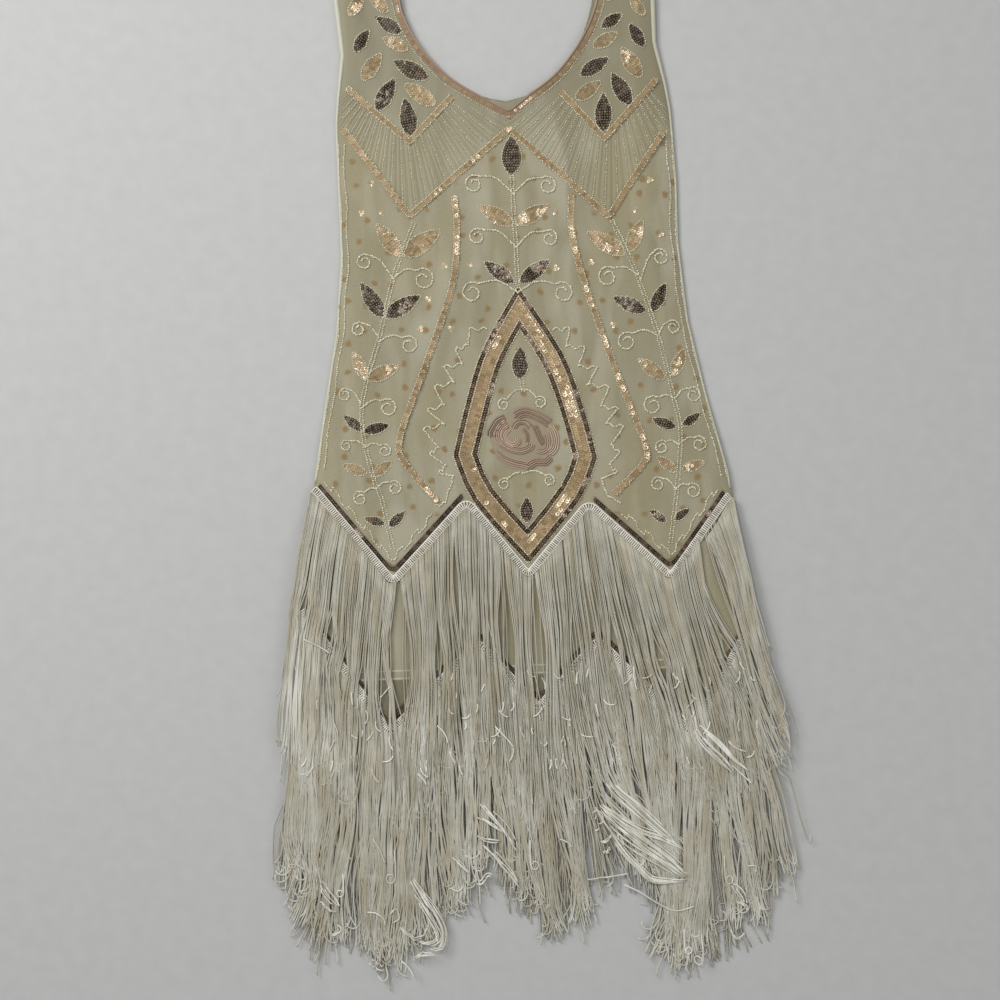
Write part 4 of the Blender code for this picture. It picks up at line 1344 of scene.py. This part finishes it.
for tone, rows, *corners in ROSE_STROKES:
    outer = ROSE_CENTRE + ROSE_RADII * 1.04 * curve(corners)
    for row in range(rows):
        ends = chance.uniform([0.0, 0.9], [0.1, 1.0])
        shares = ends[0] + (ends[1] - ends[0]) * np.linspace(0.0, 1.0, SILK_STATIONS)
        arcs.append(at_shares(beside(outer, row * ROW_GAP), shares))
        arc_tones.append(np.clip(tone + 0.2 * (row % 2) + chance.normal(0, 0.1), 0, 1))
arcs = np.array(arcs)
spots, _ = on_surface(arcs.reshape(-1, 2), cloth_tree)
spots = spots.reshape(*arcs.shape[:2], 3)
spots[..., 2] += ROSE_PAD + SILK_RADIUS * 0.7 + 0.25 * MM * chance.random((len(arcs), 1))
strands("rose_silk", spots, SILK_RADIUS, np.array(arc_tones), rose_silk, sides=5)

# %% [markdown]
# ## The fringe
#
# The fringe is cut from twisted viscose thread, hundreds of threads to a tier, hanging from a woven
# braid along each zigzag seam. On the floor the threads lie in locks: neighbours cling together and
# bend together, whole areas lean the same way, single threads stray across, and some cut ends hook.
# Hair tools would need a live system, so each thread is a strand with a path of its own. It starts
# from the same seam as the CAD locks and lies at the height of the CAD's own layers.

# %% What each tier lies on
LOCK_LENGTH = 0.277
STATIONS = np.concatenate([np.linspace(0.0, 0.86, 14), np.linspace(0.885, 1.0, 9)])
BACK_STATIONS = np.concatenate([np.linspace(0.0, 0.8, 8), np.linspace(0.88, 1.0, 4)])


def back_upper_bed(y):
    return np.full_like(y, 0.6 * MM)


def back_lower_bed(y):
    return 2.7 * MM - 2.1 * MM * smoothstep(y, -0.438, -0.525)


def front_lower_bed(y):
    on_front = 10.3 * MM
    on_fringe = on_front + (5.2 * MM - on_front) * smoothstep(y, -0.300, -0.430)
    return on_fringe - 2.5 * MM * smoothstep(y, -0.438, -0.525)


def front_upper_bed(y):
    at_header = flat_top(UPPER_ZIGZAG[0][1]) + 0.8 * MM
    on_lower = front_lower_bed(y) + 2.6 * MM
    return at_header + (on_lower - at_header) * smoothstep(y, -0.030, -0.105)


# %% [markdown]
# ### How a thread bends
#
# A thread's heading is an angle from straight down. Tables give its lean at the seam and at the end, and
# its length, because the fringe spreads at the sides and was cut unevenly. Every lock, every area and
# every thread adds its own slow changes. Following the heading with equal steps gives a path of the
# right length, so a thread that sweeps aside also ends higher, as a real one does.

# %% Headings
Tier = namedtuple(
    "Tier", "name seam threads radius inset leans bed loft wild hooked short tone sweeps partings"
)
# where along the thread a bend starts and ends, and its usual size in degrees
BENDS = [(0.08, 0.35, 2.0), (0.3, 0.6, 3.0), (0.5, 0.8, 4.0), (0.72, 0.98, 8.0)]
OWN_BEND = 0.55
# wave length in metres along the seam, and size in degrees
AREA_WAVES = [(0.16, 4.0), (0.06, 3.0)]
WAVINESS = 9.0
STRAY_SHARE = 0.04
STRAY_ANGLE = 9.0
HOOK_LENGTHS = (0.06, 0.115)
HOOK_TURNS = (60.0, 240.0)


def thread_headings(tier, x0, lock, luck, stations):
    """Angles from straight down, towards +X: one row for each thread, in radians."""
    count = len(x0)
    t = stations[None, :]
    first = np.interp(x0, tier.leans[:, 0] * MM, tier.leans[:, 1])[:, None]
    last = np.interp(x0, tier.leans[:, 0] * MM, tier.leans[:, 2])[:, None]
    degrees = first + (last - first) * t
    for start, end, size in BENDS:
        of_lock = luck.normal(0.0, size * tier.wild, lock.max() + 1)[lock][:, None]
        of_thread = luck.normal(0.0, OWN_BEND * size * tier.wild, (count, 1))
        degrees = degrees + (of_lock + of_thread) * smoothstep(t, start, end)
    for wave_length, size in AREA_WAVES:
        area = np.sin(2 * math.pi * x0[:, None] / wave_length + luck.uniform(0, 6.28) + 3.0 * t)
        degrees = degrees + size * tier.wild * area * smoothstep(t, 0.1, 0.7)
    beat = luck.uniform(1.8, 3.6, lock.max() + 1)[lock][:, None] + luck.normal(0.0, 0.12, (count, 1))
    phase = luck.uniform(0, 6.28, lock.max() + 1)[lock][:, None] + luck.normal(0.0, 0.6, (count, 1))
    degrees = degrees + WAVINESS * tier.wild * np.sin(2 * math.pi * t * beat + phase) * t**0.4
    stray = (luck.random((count, 1)) < STRAY_SHARE) * luck.normal(0.0, STRAY_ANGLE, (count, 1))
    degrees = degrees + stray * smoothstep(t, 0.25, 0.55)
    for where, half_width, start, end, turn in tier.sweeps:
        near = np.exp(-(((x0[:, None] - where) / half_width) ** 2))
        degrees = degrees + turn * near * smoothstep(t, start, end)
    hook_from = 1 - luck.uniform(*HOOK_LENGTHS, (count, 1))
    hook = np.where(
        luck.random((count, 1)) < tier.hooked,
        luck.choice([-1, 1], (count, 1)) * luck.uniform(*HOOK_TURNS, (count, 1)),
        luck.normal(0.0, 14.0, (count, 1)),
    )
    return np.radians(degrees + hook * np.clip((t - hook_from) / (1 - hook_from), 0.0, 1.0) ** 1.6)


def follow(start, headings, steps):
    """Places reached from a start by steps in the given headings."""
    middle = (headings[:, :-1] + headings[:, 1:]) / 2
    moves = np.stack([np.sin(middle) * steps, -np.cos(middle) * steps], axis=2)
    return np.concatenate([start[:, None], start[:, None] + np.cumsum(moves, axis=1)], axis=1)


# %% Locks, partings and the dress's limits
SIDE_LIMIT = 0.283
PULLED_IN = 0.67
LOCK_WIDTHS = (2 * MM, 9 * MM)
MOST_LOCKS = 300


def gather(roots, luck):
    """Which lock each root belongs to, and the middle of that lock."""
    widths = luck.uniform(*LOCK_WIDTHS, MOST_LOCKS)
    edges = roots.min() + np.cumsum(widths)
    lock = np.searchsorted(edges, roots)
    return lock, edges[lock] - widths[lock] / 2


def part(flat, partings, obeys):
    """Pushes most threads aside from the places where the tier below shows through."""
    x, y = flat[..., 0], flat[..., 1]
    for middle_x, middle_y, half_gap, half_height in partings:
        nearest = np.abs(y - middle_y).argmin(axis=1)
        away = x - middle_x
        side = np.sign(away[np.arange(len(away)), nearest])[:, None]
        push = obeys * half_gap * np.exp(-np.abs(away) / (2.5 * half_gap))
        x = x + side * push * np.exp(-(((y - middle_y) / half_height) ** 2))
    return np.stack([x, y], axis=2)


def within_limits(x):
    """Keeps strays close to the dress: beyond the limit, they only go a third as far."""
    over = np.maximum(np.abs(x) - SIDE_LIMIT, 0.0)
    return x - np.sign(x) * over * PULLED_IN


# %% Paths of a tier's threads
BUNCHING = 0.35
LONG_SHARE = 0.07
LONG_BY = (1.04, 1.13)
SHORT_BY = (0.6, 0.95)
BELOW_SEAM = 3.5 * MM
CROSSING_SHARE = 0.08
TIP_PAINTED_HIGHLIGHT = 0.25
SHEEN_PATCHES = mm([
    (-255, -254, 14, 42), (-217, -305, 16, 26), (-170, -316, 8, 18), (-235, -200, 10, 24),
    (55, -320, 9, 26), (180, -300, 16, 24), (-120, -300, 14, 30), (95, -395, 12, 30),
])


def patchy(x, y, luck):
    """Where threads catch more light: a few patches, and narrow streaks along the fringe."""
    value = 0.06 * np.sin(x * 520 + 2.5 * np.sin(y * 22 + luck.uniform(0, 6))) * np.sin(y * 38 + x * 70)
    for patch_x, patch_y, half_x, half_y in SHEEN_PATCHES:
        value = value + 0.35 * np.exp(-(((x - patch_x) / half_x) ** 2) - ((y - patch_y) / half_y) ** 2)
    return value


def lay_tier(tier, stations, seed):
    """Paths and tones of a tier's threads, from the seam down."""
    luck = np.random.default_rng(seed)
    count = tier.threads
    share = np.linspace(0.0, 1.0, count)
    share = share - BUNCHING * np.sin(2 * math.pi * share) / (2 * math.pi)
    first, last = tier.seam[0][0] + tier.inset, tier.seam[-1][0] - tier.inset
    roots = first + (last - first) * share
    roots = roots + luck.normal(0.0, 0.35 * MM, count)
    lock, middles = gather(roots, luck)
    cut = np.interp(roots, tier.leans[:, 0] * MM, tier.leans[:, 3])
    of_lock = luck.normal(0.0, 0.022, lock.max() + 1)[lock]
    length = LOCK_LENGTH * cut * (1 + of_lock + luck.normal(0.0, 0.018, count))
    length = length * np.where(luck.random(count) < LONG_SHARE, luck.uniform(*LONG_BY, count), 1.0)
    length = length * np.where(luck.random(count) < tier.short, luck.uniform(*SHORT_BY, count), 1.0)
    start = np.stack([roots, seam_height(roots, tier.seam) - BELOW_SEAM], axis=1)
    headings = thread_headings(tier, roots, lock, luck, stations)
    flat = follow(start, headings, np.diff(stations)[None, :] * length[:, None])
    t = stations[None, :]
    cling = luck.uniform(0.0, 0.4, lock.max() + 1)[lock][:, None] * tier.wild
    flat[..., 0] += (middles - roots)[:, None] * cling * t**1.2
    flat = part(flat, tier.partings, luck.random((count, 1)) > CROSSING_SHARE)
    flat[..., 0] = within_limits(flat[..., 0])
    together = 0.4 * tier.wild
    layer = together * luck.random(lock.max() + 1)[lock][:, None] + (1 - together) * luck.random((count, 1))
    settle = 1.3 * MM * smoothstep(t, 0.7, 1.0) if tier.short else 0.0
    height = tier.bed(flat[..., 1]) + tier.loft * layer + 0.35 * MM * np.sin(9 * t + 6.28 * layer) - settle
    of_lock = luck.normal(0.0, 0.05, lock.max() + 1)[lock]
    # Threads lower in the pile are toned darker: painted shade under their neighbours.
    tone = tier.tone + 0.24 * (layer[:, 0] - 0.5) + of_lock + luck.normal(0, 0.2 * tier.tone, count)
    tone = tone[:, None] + patchy(flat[..., 0], flat[..., 1], luck)
    # The cut ends are toned lighter: a painted highlight on the tips.
    tone = tone + TIP_PAINTED_HIGHLIGHT * smoothstep(t, 0.88, 1.0)
    return np.concatenate([flat, height[..., None]], axis=2), np.clip(tone, 0, 1)


# %% Leans and lengths
UPPER_LEANS = np.array([
    # x at the seam in mm, degrees at the seam, degrees at the end, length as a share
    (-226, -13.5, -6.0, 1.0), (-205, -13.0, -5.0, 1.0), (-175, -9.0, -2.0, 1.0), (-145, -2.5, -1.0, 1.0),
    (-110, -1.0, -2.0, 1.0), (-60, -1.5, -2.0, 1.0), (-20, 1.0, 2.0, 1.0), (10, 1.0, 1.0, 1.0),
    (45, 2.0, 5.0, 1.0), (76, 6.0, 9.0, 1.0), (110, 11.0, 14.0, 1.0), (150, 12.0, 13.0, 1.0),
    (175, 9.0, 9.0, 1.0), (195, 15.0, 20.0, 0.96), (215, 12.0, 18.0, 0.93), (234, 5.0, 13.0, 0.95),
])
LOWER_LEANS = np.array([
    (-245, -9.0, -6.0, 1.02), (-215, -7.0, -5.0, 1.07), (-190, -6.0, -4.0, 1.02), (-170, -4.0, -4.0, 0.93),
    (-128, -3.0, -3.0, 0.93), (-108, -3.0, -1.0, 0.96), (-88, -2.0, 0.0, 0.87), (-50, 0.0, 0.0, 0.88),
    (-18, 2.0, 2.0, 0.85), (2, 3.0, 3.0, 0.91), (40, 4.0, 5.0, 0.90), (60, 4.0, 6.0, 0.86),
    (80, 5.0, 7.0, 0.92), (92, 6.0, 8.0, 0.88), (125, 5.0, 6.0, 0.98), (160, 1.0, -1.0, 0.96),
    (185, -1.0, -4.0, 0.90), (205, 0.0, -4.0, 0.93), (228, 5.0, 1.0, 0.98), (243, 9.0, 6.0, 0.94),
])
BACK_LEANS = np.array([(-245, -8.0, -5.0, 0.95), (0, 0.0, 0.0, 0.88), (243, 8.0, 5.0, 0.93)])

# %% Threads of the four tiers
WINDOWS = mm([
    (-138, -215, 13.0, 66), (-72, -141, 3.4, 45), (-14, -199, 6.0, 55), (15, -205, 8.0, 60),
    (211, -150, 12.0, 72), (54, -210, 3.4, 28), (98, -214, 5.0, 31),
    (-239, -153, 5.0, 18), (-213, -187, 5.0, 20), (-199, -226, 4.6, 20), (-179, -247, 4.6, 20),
    (-94, -217, 5.0, 24), (-156, -250, 6.0, 30), (-26, -176, 2.4, 33), (148, -228, 5.4, 24),
    (223, -225, 6.0, 29),
])
LOWER_SWEEPS = [(0.066, 0.010, 0.50, 0.62, 34), (0.10, 0.03, 0.45, 0.8, 12), (-0.02, 0.03, 0.4, 0.7, 7)]
UPPER_SWEEPS = [(0.045, 0.018, 0.55, 0.85, 12), (-0.10, 0.02, 0.7, 0.95, -8)]
TIERS = [
    Tier("back_upper", UPPER_ZIGZAG, 280, 0.8 * MM, 0.007, BACK_LEANS, back_upper_bed, 1.3 * MM, 0.5, 0.1,
         0.0, 0.4, [], []),
    Tier("back_lower", LOWER_ZIGZAG, 420, 0.8 * MM, 0.007, BACK_LEANS, back_lower_bed, 1.5 * MM, 0.7, 0.1,
         0.0, 0.4, [], []),
    Tier("front_lower", LOWER_ZIGZAG, 1040, 0.8 * MM, 0.002, LOWER_LEANS, front_lower_bed, 2.4 * MM, 0.85,
         0.2, 0.0, 0.33, LOWER_SWEEPS, []),
    Tier("front_upper", UPPER_ZIGZAG, 600, 0.66 * MM, -0.002, UPPER_LEANS, front_upper_bed, 1.0 * MM, 0.4,
         0.08, 0.3, 0.27, UPPER_SWEEPS, WINDOWS),
]
fringe_pieces = {}
for seed, tier in enumerate(TIERS, start=11):
    at_front = tier.name.startswith("front")
    stations = STATIONS if at_front else BACK_STATIONS
    paths, tone = lay_tier(tier, stations, seed)
    made = strands(
        "fringe_threads_" + tier.name, paths, tier.radius, tone, fringe_thread,
        sides=4 if at_front else 3,
    )
    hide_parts("fringe_" + tier.name)
    fringe_pieces[tier.name] = made

# %% [markdown]
# ### Loose threads on top
#
# Some threads lie free on top of the rest: tossed locks, a few single threads across the seams, hooks
# and rings among the tips, and the bright cut ends of the upper tier. They are toned light, a painted
# highlight for threads that lie on top in the light. Each dips under its neighbours at its start, so
# it seems to come out of the fringe.

# %% Where loose threads lie
LOOSE = [
    # threads, spread in mm, then the places that the middle of the lock follows
    (17, 9, (72, -380), (92, -402), (119, -425), (146, -446), (169, -467)),
    (7, 4, (75, -379), (93, -394), (116, -409), (143, -420), (164, -434)),
    (6, 4, (81, -402), (95, -426), (114, -449), (131, -465), (167, -468)),
    (8, 5, (79, -344), (92, -365), (115, -387), (140, -412), (157, -429)),
    (1, 0, (56, -463), (78, -461), (102, -458)),
    (1, 0, (97, -470), (113, -478), (132, -491), (152, -502), (173, -498)),
    (6, 4, (178, -297), (191, -320), (208, -337), (223, -356)),
    (7, 4, (186, -299), (207, -320), (222, -338), (238, -351)),
    (2, 3, (213, -314), (225, -325), (237, -331)),
    (1, 0, (220, -344), (229, -353), (241, -365)),
    (5, 4, (-57, -373), (-46, -386), (-30, -407), (-15, -432)),
    (3, 2, (-61, -389), (-48, -396), (-32, -409)),
    (3, 3, (-62, -410), (-51, -415), (-31, -418)),
    (6, 5, (-59, -416), (-42, -435), (-24, -458), (-15, -474)),
    (3, 3, (-91, -432), (-80, -441), (-69, -454)),
    (1, 0, (-93, -466), (-85, -470), (-79, -466)),
    (3, 3, (-65, -463), (-57, -460), (-51, -453), (-45, -459)),
    (1, 0, (-186, -489), (-175, -491), (-167, -498), (-167, -505)),
    (1, 0, (-161, -494), (-154, -486), (-150, -497), (-157, -502)),
    (2, 3, (-151, -499), (-144, -511), (-132, -518), (-121, -515)),
    (8, 4, (-136, -453), (-122, -476), (-108, -499), (-103, -515), (-108, -531), (-126, -524)),
    (4, 3, (-136, -467), (-124, -482), (-113, -500), (-106, -519), (-118, -527), (-134, -522)),
    (3, 3, (-137, -541), (-125, -534), (-110, -537)),
    (2, 2, (-156, -540), (-147, -549), (-136, -563)),
    (4, 4, (-236, -455), (-227, -469), (-216, -482)),
    (3, 3, (-237, -474), (-229, -483), (-219, -489)),
    (2, 3, (-221, -501), (-215, -507), (-226, -513)),
    (1, 0, (-176, -558), (-170, -564), (-165, -558), (-167, -549)),
    (2, 3, (-188, -536), (-181, -542), (-171, -549), (-165, -545)),
    (1, 0, (-100, -287), (-92, -295), (-88, -307)),
    (1, 0, (-37, -290), (-26, -302), (-17, -314)),
    (1, 0, (-175, -409), (-168, -421), (-163, -436)),
    (1, 0, (-242, -186), (-225, -195), (-213, -203)),
    (1, 0, (29, -418), (37, -421), (42, -427)),
    (2, 3, (66, -394), (71, -392), (74, -398), (71, -401)),
    (2, 3, (66, -410), (71, -412), (74, -407)),
    (3, 3, (73, -422), (80, -420), (85, -414)),
    (3, 3, (75, -434), (81, -433), (84, -428)),
    (3, 3, (90, -410), (96, -418), (99, -430)),
    (2, 2, (212, -524), (218, -533), (227, -527)),
    (2, 3, (219, -497), (227, -499), (230, -506)),
    (1, 0, (234, -456), (242, -456), (242, -463)),
    (1, 0, (148, -549), (154, -558), (159, -550)),
    (3, 3, (214, -475), (222, -483), (229, -497)),
]
RINGS = [
    # x, y and radius in mm
    (165, -546, 4.9), (175, -556, 5.3), (213, -470, 5.6), (1, -445, 5.6), (-158, -453, 6.2),
    (-214, -467, 4.6),
]
CUT_ENDS = 90
LOOSE_STEPS = 14


def loose_lock(count, spread, places, luck):
    """Threads that follow a lock's middle side by side, each starting and ending at its own share."""
    middle = curve(mm(places))
    begin = luck.uniform(0.0, 0.3, (count, 1)) if count > 1 else np.zeros((1, 1))
    end = luck.uniform(0.78, 1.0, (count, 1)) if count > 1 else np.ones((1, 1))
    shares = begin + (end - begin) * np.linspace(0.0, 1.0, LOOSE_STEPS)
    along = at_shares(middle, shares)
    ahead = np.gradient(along, axis=1)
    ahead /= np.linalg.norm(ahead, axis=2, keepdims=True)
    offset = np.clip(luck.normal(0.0, 0.6, (count, 1)), -1.2, 1.2) * spread * MM
    waves = np.sin(luck.uniform(5.0, 11.0, (count, 1)) * shares + luck.uniform(0, 6.28, (count, 1)))
    offset = offset * (0.45 + 0.75 * np.sin(np.pi * shares)) + 0.12 * spread * MM * waves
    return along + offset[..., None] * np.stack([-ahead[..., 1], ahead[..., 0]], axis=2)


def ring(x, y, radius, luck):
    """A thread that comes down beside a ring and winds round it."""
    lead = np.array([(radius, 5 * radius), (radius * 1.1, 2.5 * radius)])
    angle = -np.linspace(0.0, math.radians(luck.uniform(300, 400)), 22)
    shrink = radius * np.linspace(1.0, 0.72, 22)
    wound = np.stack([shrink * np.cos(angle), shrink * np.sin(angle)], axis=1)
    path = (np.concatenate([lead, wound]) * [luck.choice([-0.8, 0.9]), 1.0] + [x, y]) * MM
    return at_shares(path, np.linspace(0.0, 1.0, LOOSE_STEPS))


# %% Lay the loose threads
luck = np.random.default_rng(31)
laid = [loose_lock(count, spread, places, luck) for count, spread, *places in LOOSE]
laid.append(np.array([ring(*place, luck) for place in RINGS]))
heads = np.stack([luck.uniform(-0.25, 0.25, CUT_ENDS), luck.uniform(-0.34, -0.23, CUT_ENDS)], axis=1)
turns = luck.normal(0.1, 0.35, (CUT_ENDS, 1))
turns = turns + luck.normal(0.0, 0.9, (CUT_ENDS, 1)) * np.linspace(0, 1, LOOSE_STEPS)
steps = luck.uniform(6 * MM, 16 * MM, (CUT_ENDS, 1)) / (LOOSE_STEPS - 1)
laid.append(follow(heads, turns, np.broadcast_to(steps, (CUT_ENDS, LOOSE_STEPS - 1))))
flat = np.concatenate(laid)
flat[..., 0] = within_limits(flat[..., 0])
fringe_tree = tree_of([fringe_pieces["front_upper"], fringe_pieces["front_lower"]])
spots, _ = on_surface(flat.reshape(-1, 2), fringe_tree)
paths = spots.reshape(*flat.shape[:2], 3)
lowest = front_lower_bed(paths[..., 1])
height = np.maximum(paths[..., 2], lowest)
height[:, 1:-1] = np.maximum(height[:, 1:-1], (height[:, :-2] + height[:, 2:]) / 2)
paths[..., 2] = height + MM * luck.uniform(0.4, 1.3, (len(paths), 1))
paths[:, 0, 2] -= 1.8 * MM
# Loose threads are toned light: a painted highlight for threads on top.
tone = np.clip(luck.normal(0.86, 0.1, len(paths)), 0, 1)
strands("loose_threads", paths, 0.82 * MM, tone, fringe_thread, sides=4)

# %% [markdown]
# ## The braid
#
# The threads hang from a braid: a flat tape, covered by ribs of thicker thread that run across it every
# 2.3 mm, with a smooth cord along its upper edge and a darker one over the ribs. Each rib is a strand
# bent into a low arch. The tape is coloured dark, as painted shade in the gaps between the ribs.

# %% Tape, ribs and cord along a seam
TAPE_HALF = 5.2 * MM
RIB_HALF = 4.6 * MM
RIB_PITCH = 2.3 * MM


def seam_path(corners, inset):
    x = np.linspace(corners[0][0] + inset, corners[-1][0] - inset, 420)
    return np.stack([x, seam_height(x, corners)], axis=1)


def add_braid(name, corners, inset, level):
    """Braid along a seam: level gives the height of what it lies on at an array of places."""
    places, headings = walk(seam_path(corners, inset), RIB_PITCH)
    across = np.stack([-np.sin(headings), np.cos(headings)], axis=1)
    share = np.linspace(-1, 1, 6)
    flat = places[:, None, :] + across[:, None, :] * (RIB_HALF * share)[None, :, None]
    flat[:, :, 0] += chance.normal(0, 0.12 * MM, flat.shape[:2])
    base = level(places)[:, None]
    height = base + 0.7 * MM + 1.0 * MM * (1 - share[None, :] ** 4)
    ribs = np.concatenate([flat, height[..., None]], axis=2)
    tone = np.clip(chance.normal(0.6, 0.2, len(ribs)), 0, 1)
    strands("braid_ribs_" + name, ribs, 0.8 * MM, tone, braid_thread, sides=4)
    cords = []
    for edge in (1.0, -0.55):
        line = places + across * RIB_HALF * edge
        cords.append(np.column_stack([line, level(places) + 1.0 * MM + 0.9 * MM * (edge < 0)]))
    tone = np.array([0.85, 0.3])
    strands("braid_cords_" + name, np.array(cords), 0.7 * MM, tone, braid_thread, sides=5)
    # The dark tape is painted shade in the gaps between the ribs.
    tape = np.column_stack([places, level(places) + 0.45 * MM])[None]
    strands(
        "braid_tape_" + name, tape, TAPE_HALF, np.array([0.4]), tape_and_painted_shade, sides=6, flatten=0.08
    )


def over_front(places):
    spots, _ = on_surface(places, cloth_tree)
    return np.maximum(spots[:, 2], flat_top(places[:, 1]) - 0.1 * MM)


add_braid("front_lower", LOWER_ZIGZAG, 0.003, over_front)
add_braid("front_upper", UPPER_ZIGZAG, 0.001, over_front)
add_braid("back_lower", LOWER_ZIGZAG, 0.007, lambda places: np.full(len(places), 2.4 * MM))
add_braid("back_upper", UPPER_ZIGZAG, 0.007, lambda places: np.full(len(places), 0.2 * MM))

# %% [markdown]
# ## Piping at the edges
#
# The neckline is finished with a narrow brown piping beside its band of sequins. Along the side seams
# the net is rolled to the inside, and the roll shows as a pale soft cord. The left roll is toned
# lighter and the right one darker: painted light on the left and painted shade on the right.

# %% Piping and rolled side seams
PIPING_RADIUS = 1.1 * MM
ROLL_RADIUS = 1.4 * MM
STRAP_ROLL = 1.5 * MM
ROLL_STATIONS = 90

spots, _ = on_surface(beside(neck_edge, -1.2 * MM), trimmed_tree)
piping = spots.copy()
piping[:, :2] = beside(neck_edge, -0.6 * MM)
piping[:, 2] += 0.3 * MM
strands("neck_piping", piping[None], PIPING_RADIUS, np.array([0.5]), piping_satin, sides=6)
rolls = []
for side in (-1, 1):
    heights = np.linspace(0.568, UPPER_ZIGZAG[0 if side < 0 else -1][1] + 6 * MM, ROLL_STATIONS)
    widened = STRAP_ROLL * smoothstep(heights, 0.36, 0.50)
    edge_x = side_x(heights, side) - side * (0.9 * MM + widened)
    level = flat_top(heights) - 2.0 * MM + 1.4 * MM * smoothstep(heights, 0.36, 0.50)
    rolls.append(np.stack([edge_x, heights, level], axis=1))
radii = ROLL_RADIUS + np.tile(widened, (2, 1))
# Left roll lighter, right roll darker: painted light and painted shade.
strands("side_rolls", np.array(rolls), radii, np.array([0.8, 0.45]), rolled_net, sides=6, flatten=0.6)

# %% [markdown]
# ## The floor
#
# A plain pale floor, large enough for every view, with the faint grain of matt paint.

# %% Painted floor
floor_paint, tree, shader = new_material("matt_floor_paint", Roughness=0.8, Specular_IOR_Level=0.3)
place = add_node(tree, "ShaderNodeTexCoord").outputs["Object"]
grain = add_node(tree, "ShaderNodeTexNoise", {"Vector": place, "Scale": 60.0, "Detail": 4.0})
colour = mix_colours(tree, grain.outputs["Fac"], linear("#B9B8B5"), linear("#C4C3C0"))
tree.links.new(colour, shader.inputs["Base Color"])

bpy.ops.object.select_all(action="DESELECT")
bpy.ops.mesh.primitive_plane_add(size=12.0, location=(0.0, 0.0, -0.2 * MM))
floor = bpy.context.object
floor.name = "floor"
bpy.ops.object.transform_apply(location=True, rotation=True, scale=True)
floor.data.materials.append(floor_paint)
